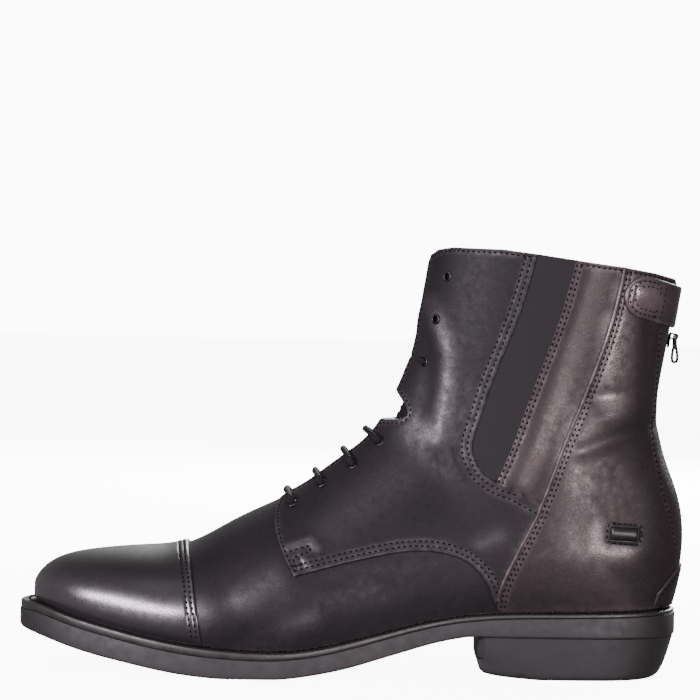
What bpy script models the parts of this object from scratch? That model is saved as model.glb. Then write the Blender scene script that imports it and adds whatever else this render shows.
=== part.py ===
"""Lace-up jodhpur boot for the left foot, built as its maker would: a hollow upper on a last-shaped surface,
sewn overlays, elastic gores, tongue, laces and a back zip, on a welted sole with a stacked heel.

All sizes are millimetres and are scaled to metres when a mesh is made. X runs from toe (-) to heel (+),
-Y is the outer (left) side, Z is up and the floor is Z = 0.
"""

import math

import bmesh
import bpy
import numpy as np
from mathutils import Vector
from mathutils.geometry import delaunay_2d_cdt

MM = 0.001

# Driving dimensions of the boot
WALL = 2.0                  # upper and lining together
GAP = 0.3                   # air between pieces that touch
OVERLAY_GAP = 0.45          # air under a sewn overlay
OVERLAY = 1.1               # leather of toe cap, quarters, strips and back panels
GORE = 0.6                  # elastic gore
TONGUE = 1.8
TONGUE_SINK = ((10.9, 11.9, 14.0, 15.4), (0.0, 3.4, 3.0, 0.0))      # section, extra depth in the ankle notch
TONGUE_EASE = 1.05          # between the upper's inside and the tongue
TONGUE_HALF = ((7.2, 9.0, 13.0, 22.0), (15.0, 20.0, 24.0, 25.0))    # section, half width
LEFT, RIGHT = -1, 1

# Sections of the last, from toe tip to above the collar. Each section is a plane across the boot that shows
# in side view as a line from its base (the feather edge, then the back seam) to its crown (top of the vamp,
# then the front of the shaft). Widths are measured from axis_y: "foot" at the base, "belly" at the widest.
STATION_COLUMNS = (
    "base_x", "base_z", "crown_x", "crown_z", "axis_y",
    "foot_left", "foot_right", "belly_left", "belly_right", "base_power", "crown_power",
)
STATIONS = (
    (-141.4, 29.2, -141.3, 36.0, 6.0, 0.0, 0.0, 0.0, 0.0, 2.1, 2.2),
    (-139.4, 28.9, -139.3, 40.0, 5.9, 11.5, 11.5, 12.1, 12.1, 2.1, 2.2),
    (-133.7, 27.5, -133.6, 45.1, 5.7, 21.4, 21.2, 22.5, 22.2, 2.1, 2.2),
    (-124.0, 24.7, -124.0, 48.7, 5.2, 30.2, 29.0, 31.5, 30.2, 2.1, 2.3),
    (-110.0, 21.4, -110.0, 51.0, 4.2, 37.5, 35.5, 38.9, 36.8, 2.1, 2.3),
    (-92.0, 17.6, -92.0, 52.7, 3.0, 43.5, 41.5, 45.0, 42.9, 2.1, 2.2),
    (-70.0, 14.0, -72.0, 56.2, 1.8, 47.0, 45.1, 48.6, 46.6, 2.1, 2.05),
    (-45.0, 12.0, -50.0, 68.0, 1.0, 48.0, 44.2, 49.6, 45.8, 2.1, 1.9),
    (-18.0, 13.0, -26.0, 80.0, 0.5, 45.5, 37.5, 47.6, 40.5, 2.2, 1.8),
    (14.0, 20.2, -8.0, 93.5, 0.2, 39.2, 31.3, 42.0, 36.0, 2.3, 1.75),
    (50.0, 28.0, 2.5, 102.0, 0.0, 34.2, 29.8, 38.0, 34.6, 2.4, 1.75),
    (90.0, 30.0, 9.0, 109.6, 0.0, 33.3, 32.8, 36.2, 35.4, 2.5, 1.8),
    (122.0, 30.6, 12.8, 116.0, 0.0, 29.3, 29.3, 35.2, 34.8, 2.6, 1.9),
    (137.3, 31.0, 15.2, 120.5, 0.0, 16.5, 16.5, 34.7, 34.4, 2.6, 1.9),
    (142.0, 31.2, 17.0, 124.0, 0.0, 0.0, 0.0, 34.4, 34.2, 2.6, 1.9),
    (145.2, 44.0, 19.0, 127.4, 0.0, 0.0, 0.0, 34.2, 34.0, 2.6, 1.9),
    (147.2, 60.0, 20.9, 131.3, 0.0, 0.0, 0.0, 34.0, 34.0, 2.6, 1.9),
    (145.3, 79.0, 22.9, 136.2, 0.0, 0.0, 0.0, 33.7, 33.7, 2.5, 1.9),
    (138.6, 98.0, 25.2, 142.2, 0.0, 0.0, 0.0, 33.4, 33.4, 2.4, 1.9),
    (134.9, 116.0, 27.0, 149.3, 0.0, 0.0, 0.0, 33.4, 33.4, 2.3, 1.95),
    (135.5, 131.0, 28.4, 156.9, 0.0, 0.0, 0.0, 33.7, 33.7, 2.3, 2.0),
    (138.3, 148.0, 30.2, 167.9, 0.0, 0.0, 0.0, 34.4, 34.4, 2.3, 2.05),
    (142.5, 174.0, 33.2, 185.9, 0.0, 0.0, 0.0, 36.0, 36.0, 2.3, 2.1),
    (145.2, 192.0, 35.2, 199.9, 0.0, 0.0, 0.0, 37.0, 37.0, 2.3, 2.1),
)
HEEL_STATION = 14           # the feather edge ends here and the back seam begins
LAST_STATION = len(STATIONS) - 1


def natural_spline(knots, values):
    """A natural cubic spline as a function of the knots."""
    x = np.asarray(knots, float)
    y = np.asarray(values, float)
    count = len(x)
    step = np.diff(x)
    system = np.eye(count)
    slopes = np.zeros(count)
    for k in range(1, count - 1):
        system[k, k - 1:k + 2] = step[k - 1], 2 * (step[k - 1] + step[k]), step[k]
        slopes[k] = 6 * ((y[k + 1] - y[k]) / step[k] - (y[k] - y[k - 1]) / step[k - 1])
    bend = np.linalg.solve(system, slopes)

    def at(place):
        place = np.asarray(place, float)
        k = np.clip(np.searchsorted(x, place, side="right") - 1, 0, count - 2)
        h = step[k]
        before = (x[k + 1] - place) / h
        after = (place - x[k]) / h
        cubic = ((before ** 3 - before) * bend[k] + (after ** 3 - after) * bend[k + 1]) * h * h / 6
        return before * y[k] + after * y[k + 1] + cubic

    return at


def broken_spline(values, corner):
    """A spline over the row numbers with a corner at one row."""
    rows = np.arange(len(values))
    first = natural_spline(rows[:corner + 1], values[:corner + 1])
    second = natural_spline(rows[corner:], values[corner:])

    def at(u):
        before, after = first(np.minimum(u, corner)), second(np.maximum(u, corner))
        return np.where(np.asarray(u) <= corner, before, after)

    return at


def station_splines():
    """One spline for each column of the stations. The base turns a corner at the heel."""
    columns = dict(zip(STATION_COLUMNS, np.array(STATIONS, float).T))
    splines = {}
    for name, values in columns.items():
        if name.startswith(("base_x", "base_z", "foot")):
            splines[name] = broken_spline(values, HEEL_STATION)
        else:
            splines[name] = natural_spline(np.arange(len(values)), values)
    return splines


SPLINES = station_splines()


def column(name, u):
    return SPLINES[name](u)


def sided(name, u, side):
    """A left or right width at u, never below zero."""
    return np.maximum(column(f"{name}_{'left' if side == LEFT else 'right'}", u), 0.0)


def signed_power(value, power):
    return np.sign(value) * np.abs(value) ** power


def start_angle(u, side):
    """Angle on the section's superellipse where it leaves the base."""
    belly = np.maximum(sided("belly", u, side), 1e-6)
    ratio = np.clip(sided("foot", u, side) / belly, 0.0, 1.0)
    return np.arcsin(ratio ** (column("base_power", u) / 2))


def surface(u, angle, side):
    """Points of the last: u picks the section, angle runs from the base to pi at the crown."""
    u, angle = np.broadcast_arrays(np.asarray(u, float), np.asarray(angle, float))
    power = np.where(angle < math.pi / 2, column("base_power", u), column("crown_power", u))
    first = np.cos(start_angle(u, side)) ** (2 / column("base_power", u))
    along = (first - signed_power(np.cos(angle), 2 / power)) / (first + 1)
    out = sided("belly", u, side) * np.abs(np.sin(angle)) ** (2 / power)
    x = column("base_x", u) + along * (column("crown_x", u) - column("base_x", u))
    z = column("base_z", u) + along * (column("crown_z", u) - column("base_z", u))
    return np.stack([x, column("axis_y", u) + side * out, z], axis=-1)


def normals(u, angle, side, seam=None):
    """Outward unit normals. On a seam, where the two halves meet, they lie in the boot's middle plane."""
    u, angle = np.broadcast_arrays(np.asarray(u, float), np.asarray(angle, float))
    nudge = 0.02
    safe_u = np.clip(u, nudge, LAST_STATION - nudge)
    low = start_angle(safe_u, side)
    safe_angle = np.clip(angle, low + nudge, math.pi - nudge)
    along_u = surface(safe_u + nudge / 2, safe_angle, side) - surface(safe_u - nudge / 2, safe_angle, side)
    across = surface(safe_u, safe_angle + nudge / 2, side) - surface(safe_u, safe_angle - nudge / 2, side)
    out = np.cross(along_u, across) * -side
    if seam is not None:
        out[..., 1] = np.where(seam, 0.0, out[..., 1])
    return out / np.linalg.norm(out, axis=-1, keepdims=True)


def offset_surface(u, angle, side, offset, seam=None):
    return surface(u, angle, side) + normals(u, angle, side, seam) * np.asarray(offset)[..., None]


def locate(x, z, side):
    """Section number and angle of the point of the last that shows at x, z in side view."""
    x, z = np.broadcast_arrays(np.asarray(x, float), np.asarray(z, float))
    low = np.zeros(x.shape)
    high = np.full(x.shape, float(LAST_STATION))
    for _ in range(40):
        middle = (low + high) / 2
        base_x, base_z = column("base_x", middle), column("base_z", middle)
        line_x, line_z = column("crown_x", middle) - base_x, column("crown_z", middle) - base_z
        past = line_x * (z - base_z) - line_z * (x - base_x) < 0
        low, high = np.where(past, middle, low), np.where(past, high, middle)
    u = (low + high) / 2
    base_x, base_z = column("base_x", u), column("base_z", u)
    line_x, line_z = column("crown_x", u) - base_x, column("crown_z", u) - base_z
    along = np.clip(((x - base_x) * line_x + (z - base_z) * line_z) / (line_x ** 2 + line_z ** 2), 0.0, 1.0)
    first = np.cos(start_angle(u, side)) ** (2 / column("base_power", u))
    cosine = first - along * (first + 1)
    power = np.where(cosine >= 0, column("base_power", u), column("crown_power", u))
    return u, np.arccos(np.clip(signed_power(cosine, power / 2), -1.0, 1.0))


# Seams of the outer side as they show in side view, x then z
VAMP_SEAM = ((-24.9, 44.6), (-8.9, 49.0), (11.7, 54.0), (27.8, 56.5), (40.7, 55.7), (50.8, 52.2),
             (57.1, 47.0), (61.7, 39.5), (64.6, 31.6))
QUARTER_FRONT = ((-24.9, 44.6), (-30.4, 54.7), (-33.7, 65.4), (-33.6, 71.3), (-31.9, 75.3))
GORE_FRONT = ((63.5, 87.6), (59.1, 90.1), (54.6, 96.1), (53.1, 102.2), (54.8, 110.2), (61.8, 132.5),
              (71.8, 159.3), (79.9, 188.6))
GORE_REAR = ((63.5, 87.1), (68.6, 99.1), (73.6, 113.4), (81.9, 137.4), (90.2, 161.4), (96.6, 186.6))
STRIP_FOOT = ((63.5, 87.1), (71.9, 83.3), (81.9, 78.4))
BACK_SEAM_LOW = ((65.4, 31.6), (66.4, 43.3), (72.8, 60.3), (81.9, 78.4))
BACK_SEAM_HIGH = ((81.9, 78.4), (91.5, 99.6), (97.4, 115.6), (105.1, 133.4), (113.4, 160.1), (118.1, 183.6))
CAP_SEAM = ((-74.0, 58.5), (-71.3, 50.0), (-68.7, 38.0), (-66.5, 25.3), (-64.6, 13.0))
COLLAR = ((29.0, 166.0), (32.2, 181.3), (34.6, 186.8), (38.0, 189.5), (43.6, 190.5), (64.5, 190.0),
          (79.9, 188.1), (96.6, 185.8), (118.1, 183.1), (132.0, 180.9), (150.0, 176.2))

# Half of the throat opening at each section: u along the last, gap from the middle
THROAT = ((7.6, 0.0), (7.85, 4.6), (8.3, 6.0), (11.2, 6.6), (11.6, 6.8), (12.1, 12.0), (12.6, 15.5),
          (13.4, 16.8), (14.0, 15.0), (14.35, 11.5), (14.75, 6.4), (17.0, 6.0), (20.0, 6.6), (23.0, 7.6))
THROAT_START = THROAT[0][0]

# Eyelets of one side, x then z, and whether the lace runs through
EYELETS = ((-26.2, 74.2, True), (-13.1, 83.2, True), (0.5, 92.0, True), (12.4, 102.7, True),
           (31.7, 139.4, False), (37.2, 158.5, False), (41.5, 177.8, False))
EYELET_OUTER, EYELET_HOLE, EYELET_HEIGHT = 2.5, 1.3, 0.6
LACE = 1.5                  # radius of the round lace
BAR_SAG = 0.9               # each bar sinks this far between the facings
BAR_LEAN = 0.08             # how far each bar leans to the toe at the crown, in sections

# The sole seen from the side: x, underside, and how thick the welt shows
SOLE_BOTTOM = ((-152.0, 18.2), (-138.0, 14.9), (-125.0, 11.3), (-112.0, 8.2), (-98.5, 5.6), (-85.0, 3.1),
               (-72.0, 1.2), (-62.0, 0.3), (-54.0, -0.1), (-44.0, -0.2), (-34.0, -0.1), (-26.0, 0.5),
               (-13.0, 2.4), (0.6, 5.3), (13.7, 9.1), (26.8, 13.0), (38.0, 16.2), (48.0, 18.3))
SEAT = 19.0                 # underside of the sole over the heel block
SEAT_X = 57.0               # breast of the heel
WELT_THICK = ((-152.0, 4.0), (-70.0, 3.8), (-20.0, 3.2), (40.0, 2.5), (100.0, 2.1), (152.0, 2.1))
WELT_MARGIN = ((-152.0, 7.6), (-130.0, 7.0), (-100.0, 6.0), (-45.0, 5.6), (0.0, 4.6), (40.0, 3.7),
               (120.0, 3.6), (142.0, 4.2))
WELT_INSIDE = 5.0
INSOLE = 2.4
INSOLE_EASE = 1.6           # room round the insole inside the upper
HEEL_SIDE_TAPER, HEEL_REAR_TAPER = 2.2, 5.6
HEEL_BOTTOM = ((57.0, 5.4), (59.5, 3.0), (64.0, 1.9), (72.0, 0.9), (84.0, 0.0), (152.0, 0.0))

# Back zip, slider, pull and collar tab
ZIP_FOOT, ZIP_TOP = 52.0, 176.0
ZIP_HALF, COIL_HALF = 5.0, 1.7
ZIP_TAPE, COIL = 0.95, 1.7
SLIDER_Z, SLIDER_LENGTH, SLIDER_WIDTH, SLIDER_THICK = 151.4, 7.6, 7.4, 1.0
HINGE_Z, HINGE_OUT = 153.4, 4.9
BARREL, BARREL_LENGTH = 0.9, 3.8
PULL_LENGTH, PULL_HALF, PULL_THICK, PULL_FRAME = 12.0, 2.9, 1.0, 1.1
PULL_TWIST = math.radians(34)
# Rows of a strap round the back: depth in from the back seam, lower edge, upper edge
TAB = ((0.0, 157.0, 175.6), (0.45, 157.2, 175.8), (1.7, 157.6, 176.3), (4.3, 158.6, 177.2),
       (8.0, 159.8, 178.3), (13.0, 161.0, 179.2), (17.5, 162.2, 179.6), (21.0, 164.3, 178.6),
       (23.0, 167.0, 176.6), (24.0, 170.0, 173.6))
TAB_THICK = 1.5
TAB_LIFT = ((0.0, 2.0, 8.0), (2.5, 2.5, 2.1))     # depth in from the back seam, air under the tab
HEEL_PATCH = ((0.0, 33.4, 51.6), (0.45, 33.4, 51.4), (1.7, 33.6, 50.0), (3.6, 33.8, 47.2),
              (5.6, 33.9, 43.8), (7.4, 34.0, 39.6), (8.5, 34.1, 36.0))
HEEL_PATCH_LIFT, HEEL_PATCH_THICK = 2.15, 0.8
KEEPER = (112.2, 128.0, 60.5, 70.3)     # spur keeper: front, rear, lower and upper edge

COLOURS = {
    "leather": (0.030, 0.026, 0.027, 1.0),
    "lining": (0.05, 0.045, 0.042, 1.0),
    "gore": (0.028, 0.027, 0.03, 1.0),
    "rubber": (0.045, 0.042, 0.045, 1.0),
    "welt": (0.035, 0.032, 0.034, 1.0),
    "lace": (0.02, 0.018, 0.019, 1.0),
    "metal": (0.06, 0.055, 0.055, 1.0),
    "insole": (0.10, 0.085, 0.07, 1.0),
    "zip": (0.02, 0.02, 0.022, 1.0),
}
ROUGHNESS = {"leather": 0.42, "rubber": 0.6, "metal": 0.3, "welt": 0.5}


def material(name):
    """The named material, made on first use."""
    found = bpy.data.materials.get(name)
    if found is None:
        found = bpy.data.materials.new(name)
        found.use_nodes = True
        shader = found.node_tree.nodes["Principled BSDF"]
        shader.inputs["Base Color"].default_value = COLOURS[name]
        shader.inputs["Roughness"].default_value = ROUGHNESS.get(name, 0.7)
        shader.inputs["Metallic"].default_value = 1.0 if name == "metal" else 0.0
    return found


def solid(name, points, faces, kind, origin=(0.0, 0.0, 0.0)):
    """A closed mesh object from millimetre points, with its faces turned out and its own origin."""
    mesh = bpy.data.meshes.new(name)
    shift = np.asarray(origin, float)
    mesh.from_pydata([tuple((np.asarray(p, float) - shift) * MM) for p in points], [], faces)
    work = bmesh.new()
    work.from_mesh(mesh)
    bmesh.ops.recalc_face_normals(work, faces=work.faces)
    if work.calc_volume(signed=True) < 0:
        bmesh.ops.reverse_faces(work, faces=work.faces)
    work.to_mesh(mesh)
    work.free()
    mesh.materials.append(material(kind))
    thing = bpy.data.objects.new(name, mesh)
    thing.location = shift * MM
    bpy.context.scene.collection.objects.link(thing)
    return thing


def tidy_face(corners):
    """A face without repeated corners, or None when it has collapsed."""
    kept = [c for k, c in enumerate(corners) if c != corners[k - 1]]
    return kept if len(set(kept)) == len(kept) and len(kept) > 2 else None


def close_sheet(name, outer, inner, faces, kind):
    """A wall from matching outer and inner points: the faces, their inner copies and the rims between."""
    count = len(outer)
    used = {}
    for face in faces:
        for a, b in zip(face, face[1:] + face[:1]):
            used[(a, b)] = used.get((a, b), 0) + 1
    every = [list(face) for face in faces]
    every += [[c + count for c in reversed(face)] for face in faces]
    for a, b in used:
        if (b, a) not in used:
            every.append([b, a, a + count, b + count])
    keep = sorted({c for face in every for c in face})
    renumber = {old: new for new, old in enumerate(keep)}
    points = np.concatenate([outer, inner])[keep]
    return solid(name, points, [[renumber[c] for c in face] for face in every], kind)


def shell(name, outer, inner, kind, shared=None):
    """A wall from one or two grids of points. Where shared is true, the two halves use one point."""
    halves, rows, columns = outer.shape[:3]
    number = np.arange(halves * rows * columns).reshape(halves, rows, columns)
    if shared is not None:
        number[1] = np.where(shared, number[0], number[1])
    faces = []
    for half in range(halves):
        n = number[half]
        for i in range(rows - 1):
            for j in range(columns - 1):
                corners = [int(n[i, j]), int(n[i + 1, j]), int(n[i + 1, j + 1]), int(n[i, j + 1])]
                face = tidy_face(corners if half == 0 else corners[::-1])
                if face:
                    faces.append(face)
    return close_sheet(name, outer.reshape(-1, 3), inner.reshape(-1, 3), faces, kind)


def smooth(points, count):
    """A spline through side-view points, as count points evenly spread."""
    points = np.asarray(points, float)
    far = np.concatenate([[0.0], np.cumsum(np.hypot(*np.diff(points, axis=0).T))])
    place = np.linspace(0.0, far[-1], count)
    return np.stack([natural_spline(far, values)(place) for values in points.T], axis=-1)


def shifted(line, distance):
    """A side-view line moved to its left by a distance."""
    run = np.gradient(line, axis=0)
    run /= np.linalg.norm(run, axis=1, keepdims=True)
    return line + np.stack([-run[:, 1], run[:, 0]], axis=-1) * distance


def collar_z(x):
    return np.interp(x, *np.array(COLLAR).T)


def throat_angle(u, side, extra=0.0):
    """Angle of the throat's edge at a section. Ahead of the throat it is the crown."""
    gap = np.interp(u, *np.array(THROAT).T) + extra
    ratio = np.clip(gap / np.maximum(sided("belly", u, side), 1e-6), 0.0, 1.0)
    ratio = np.where(np.asarray(u) <= THROAT_START, 0.0, ratio)
    return math.pi - np.arcsin(ratio ** (column("crown_power", u) / 2))


def back_angle(u, half, side):
    """Angle near the back seam where the surface is half away from the middle."""
    ratio = np.clip(half / np.maximum(sided("belly", u, side), 1e-6), 0.0, 1.0)
    return np.arcsin(ratio ** (column("base_power", u) / 2))


def section_at_back(z):
    """Section whose base on the back seam is at height z."""
    return np.interp(z, column("base_z", np.linspace(HEEL_STATION, LAST_STATION, 200)),
                     np.linspace(HEEL_STATION, LAST_STATION, 200))


def collar_section(fraction, side, drop=0.0):
    """Section at which a column of the wall reaches the collar."""
    low, high = np.full(fraction.shape, SHAFT_START), np.full(fraction.shape, float(LAST_STATION))
    for _ in range(40):
        middle = (low + high) / 2
        first = start_angle(middle, side)
        angle = first + fraction * (throat_angle(middle, side) - first)
        point = surface(middle, angle, side)
        below = point[..., 2] < collar_z(point[..., 0]) - drop
        low, high = np.where(below, middle, low), np.where(below, high, middle)
    return (low + high) / 2


# Lattice of the upper, also used inside every overlay so that facets lie parallel
SHAFT_START = 19.0          # from this section up, rows are spread evenly to the collar
UPPER_U = np.array([0.0, 0.35, 0.8, 1.4, 2.1, 2.9, 3.8, 4.8, 5.6, 6.05, 6.5, 7.05, 7.6, 7.85, 8.25, 8.65,
                    9.05, 9.45, 9.85, 10.25, 10.65, 11.1, 11.6, 12.1, 12.6, 13.1, 13.6, 14.0, 14.35, 14.75,
                    15.4, 16.1, 16.8, 17.5, 18.2, SHAFT_START])
SHAFT_ROWS = 5
UPPER_COLUMNS = 11


def upper_lattice(side):
    """Section numbers and angles of the wall's grid points on one side."""
    fraction = np.linspace(0.0, 1.0, UPPER_COLUMNS)
    top = collar_section(fraction, side)
    shaft = SHAFT_START + np.linspace(0.0, 1.0, SHAFT_ROWS + 1)[1:, None] * (top - SHAFT_START)
    u = np.concatenate([np.repeat(UPPER_U[:, None], UPPER_COLUMNS, axis=1), shaft])
    first = start_angle(u, side)
    return u, first + fraction * (throat_angle(u, side) - first)


def make_upper():
    """The hollow upper: two halves that share the vamp's crown and the back seam."""
    outer, inner = [], []
    for side in (LEFT, RIGHT):
        u, angle = upper_lattice(side)
        seam = np.zeros(u.shape, bool)
        seam[0] = True
        seam[:, -1] |= u[:, -1] <= THROAT_START
        seam[:, 0] |= u[:, 0] >= HEEL_STATION
        outer.append(offset_surface(u, angle, side, np.zeros(u.shape), seam))
        inner.append(offset_surface(u, angle, side, np.full(u.shape, -WALL), seam))
    return shell("upper", np.array(outer), np.array(inner), "leather", seam)


def make_toe_cap():
    """The toe cap wraps the front of the upper from welt to welt, on the upper's lattice up to its seam."""
    seam_line = smooth(CAP_SEAM, 40)
    rows = UPPER_U[UPPER_U < 5.8]
    fraction = np.linspace(0.0, 1.0, UPPER_COLUMNS)
    fraction[0] = 0.05
    outer, inner = [], []
    for side in (LEFT, RIGHT):
        seam_u, seam_angle = locate(seam_line[:, 0], seam_line[:, 1], side)
        order = np.argsort(seam_angle)
        end = np.full(fraction.shape, 6.0)
        for _ in range(6):
            reach = start_angle(end, side) + fraction * (math.pi - start_angle(end, side))
            end = np.interp(reach, seam_angle[order], seam_u[order])
        u = np.concatenate([np.repeat(rows[:, None], len(fraction), axis=1), end[None]])
        angle = start_angle(u, side) + fraction * (math.pi - start_angle(u, side))
        seam = np.zeros(u.shape, bool)
        seam[0] = True
        seam[:, -1] = True
        inner.append(offset_surface(u, angle, side, np.full(u.shape, OVERLAY_GAP), seam))
        outer.append(offset_surface(u, angle, side, np.full(u.shape, OVERLAY_GAP + OVERLAY), seam))
    return shell("toe_cap", np.array(outer), np.array(inner), "leather", seam)


def make_tongue():
    """A soft band under the throat, from the vamp to just below the collar."""
    rows = np.array([7.2, 7.7, 8.3, 9.0, 9.7, 10.4, 11.1, 11.8, 12.6, 13.5, 14.5, 15.8, 17.2, 18.8,
                     20.2, 21.6])
    half = np.interp(rows, *TONGUE_HALF)
    share = np.array([1.0, 0.7, 0.36, 0.0])
    outer, inner = [], []
    for side in (LEFT, RIGHT):
        u = np.repeat(rows[:, None], len(share), axis=1)
        ratio = half[:, None] * share / sided("belly", u, side)
        angle = math.pi - np.arcsin(ratio ** (column("crown_power", u) / 2))
        seam = np.zeros(u.shape, bool)
        seam[:, -1] = True
        high = -(WALL + TONGUE_EASE + np.interp(u, *TONGUE_SINK))
        outer.append(offset_surface(u, angle, side, high, seam))
        inner.append(offset_surface(u, angle, side, high - TONGUE, seam))
    return shell("tongue", np.array(outer), np.array(inner), "lining", seam)


def feather(x):
    """Height of the feather edge along the boot."""
    u = np.linspace(0.0, HEEL_STATION, 400)
    return np.interp(x, column("base_x", u), column("base_z", u))


def sole_plan(u, out):
    """Left and right lines of the feather edge moved out by a distance, as plan points."""
    lines = []
    for side in (LEFT, RIGHT):
        step = 1e-3

        def edge(at):
            across = column("axis_y", at) + side * sided("foot", at, side)
            return np.stack([column("base_x", at), across], axis=-1)

        run = edge(np.minimum(u + step, HEEL_STATION)) - edge(np.maximum(u - step, 0.0))
        run[0] = (0.0, side)
        run[-1] = (0.0, -side)
        run /= np.linalg.norm(run, axis=1, keepdims=True)
        normal = np.stack([run[:, 1], -run[:, 0]], axis=-1) * side * -1
        lines.append(edge(u) + normal * np.asarray(out).reshape(-1, 1))
    return lines


def margin(x):
    return np.interp(x, *np.array(WELT_MARGIN).T)


def underside(x):
    rise = natural_spline(*np.array(SOLE_BOTTOM).T)(np.minimum(x, SOLE_BOTTOM[-1][0]))
    end = SOLE_BOTTOM[-1]
    ramp = end[1] + (SEAT - end[1]) * np.clip((x - end[0]) / 4.0, 0.0, 1.0)
    return np.maximum(np.where(np.asarray(x) > end[0], ramp, rise), 0.0)


def welt_seam(x):
    """Height of the groove between welt and outsole."""
    return feather(x) - np.interp(x, *np.array(WELT_THICK).T)


def stack(name, levels, kind, ring=False, open_front=False):
    """A solid from plan outlines stacked on one another. Each level has left and right points that meet at
    the heel and, unless the front is open, at the toe. A ring joins its last level back to its first."""
    points, loops, pairs = [], [], []
    for left, right in levels:
        first = 0 if open_front else 1
        base = len(points)
        points += list(left) + list(right[first:-1][::-1])
        loops.append(list(range(base, len(points))))
        back = [base + k for k in range(len(left))]
        front = {len(left) - 1: back[-1]}
        for step, k in enumerate(range(len(right) - 2, first - 1, -1)):
            front[k] = base + len(left) + step
        if not open_front:
            front[0] = back[0]
        pairs.append((back, [front[k] for k in range(len(left))]))
    faces = []
    bands = list(zip(loops, loops[1:])) + ([(loops[-1], loops[0])] if ring else [])
    for low, high in bands:
        for k in range(len(low)):
            faces.append([low[k - 1], low[k], high[k], high[k - 1]])
    if not ring:
        for (left, right), turn in ((pairs[0], 1), (pairs[-1], -1)):
            for k in range(len(left) - 1):
                face = tidy_face([left[k], left[k + 1], right[k + 1], right[k]][::turn])
                faces.append(face)
    return solid(name, points, faces, kind)


def sole_stations():
    """Sections for the sole: close together round toe and heel, even between, one at the heel's breast."""
    every = np.linspace(0.0, HEEL_STATION, 600)
    along = list(np.linspace(-136.0, 44.0, 22)) + [52.0, SEAT_X] + list(np.linspace(66.0, 134.0, 8))
    middle = np.interp(along, column("base_x", every), every)
    return np.concatenate([[0.0, 0.25, 0.55, 0.95, 1.35], middle, [13.05, 13.35, 13.65, 13.85, 14.0]])


def level(u, out, height):
    """One outline of a stack: plan lines at a distance from the feather edge, at a height that follows x."""
    edge_x = column("base_x", u)
    reach = out(edge_x) if callable(out) else np.full(u.shape, float(out))
    return [np.column_stack([line, height(line[:, 0])]) for line in sole_plan(u, reach)]


def make_sole():
    """Outsole, welt and insole on the feather edge, and the heel block below."""
    u = sole_stations()
    top = GAP
    stack("outsole", [
        level(u, 1.5 - WELT_INSIDE, lambda x: welt_seam(x) - top - 0.4),
        level(u, lambda x: margin(x) - 0.9, lambda x: welt_seam(x) - top),
        level(u, lambda x: margin(x) + 0.3, lambda x: welt_seam(x) - top - 0.9),
        level(u, lambda x: margin(x) + 0.3, lambda x: underside(x) + 1.4),
        level(u, lambda x: margin(x) - 1.1, underside),
    ], "rubber")
    stack("welt", [
        level(u, -WELT_INSIDE, lambda x: welt_seam(x) + top),
        level(u, margin, lambda x: welt_seam(x) + top),
        level(u, lambda x: margin(x) - 1.5, lambda x: feather(x) - GAP),
        level(u, -WELT_INSIDE, lambda x: feather(x) - GAP),
    ], "welt", ring=True)
    u = np.concatenate([u[:-1:2], u[-1:]])
    stack("insole", [
        level(u, -WELT_INSIDE - GAP, lambda x: welt_seam(x) + top),
        level(u, -WELT_INSIDE - GAP, feather),
        level(u, -WALL - INSOLE_EASE, feather),
        level(u, -WALL - INSOLE_EASE, lambda x: feather(x) + INSOLE),
    ], "insole")
    front = np.interp(SEAT_X, column("base_x", np.linspace(9, 12, 200)), np.linspace(9, 12, 200))
    u = np.concatenate([np.linspace(front, 12.8, 10), [13.05, 13.35, 13.65, 13.85, 14.0]])
    bottom = np.array(HEEL_BOTTOM).T

    def heel_level(height, share, inset):
        lines = sole_plan(u, margin(column("base_x", u)) - 0.4)
        result = []
        for line, side in zip(lines, (LEFT, RIGHT)):
            rear = np.clip((line[:, 0] - 110.0) / 36.0, 0.0, 1.0) ** 2
            taper = share * (HEEL_SIDE_TAPER + (HEEL_REAR_TAPER - HEEL_SIDE_TAPER) * rear) + inset
            moved = sole_plan(u, margin(column("base_x", u)) - 0.4 - taper)[0 if side == LEFT else 1]
            moved[0, 0] = SEAT_X
            result.append(np.column_stack([moved, height(moved[:, 0])]))
        return result

    ground = lambda x: np.interp(x, *bottom)
    stack("heel", [
        heel_level(lambda x: np.full(x.shape, SEAT - GAP), 0.0, 0.0),
        heel_level(lambda x: np.full(x.shape, SEAT * 0.5), 0.5, 0.0),
        heel_level(lambda x: ground(x) + 1.6, 0.92, 0.0),
        heel_level(ground, 1.0, 1.3),
    ], "rubber", open_front=True)


# Overlays cut to seam lines on the last
SECTION_SPAN, ANGLE_SPAN = 12.0, 38.0   # rough millimetres to one section and to one radian
TAIL_Z = 36.0               # the quarter's tail ends here, above the welt
SEAM_SHARE = 0.25           # each panel stops this far from a shared seam
PANEL_FOOT = 33.0           # the back panels end here at the back seam
FOOT_RISE = 1.6             # and this far above the feather edge along the side


def inside(points, outline):
    """Which points lie inside a closed outline, by counting crossings."""
    x, y = points.T
    result = np.zeros(len(points), bool)
    for (ax, ay), (bx, by) in zip(outline, np.roll(outline, -1, axis=0)):
        spans = (ay > y) != (by > y)
        rise = by - ay if by != ay else 1e-12
        result ^= spans & (x < ax + (y - ay) * (bx - ax) / rise)
    return result


def clear_of(points, outline):
    """Distance of each point from a closed outline."""
    nearest = np.full(len(points), np.inf)
    for a, b in zip(outline, np.roll(outline, -1, axis=0)):
        run = b - a
        share = np.clip(((points - a) @ run) / max(run @ run, 1e-12), 0.0, 1.0)
        nearest = np.minimum(nearest, np.linalg.norm(points - a - share[:, None] * run, axis=1))
    return nearest


def flat(u, angle):
    return np.column_stack([np.ravel(u) * SECTION_SPAN, np.ravel(angle) * ANGLE_SPAN])


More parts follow.
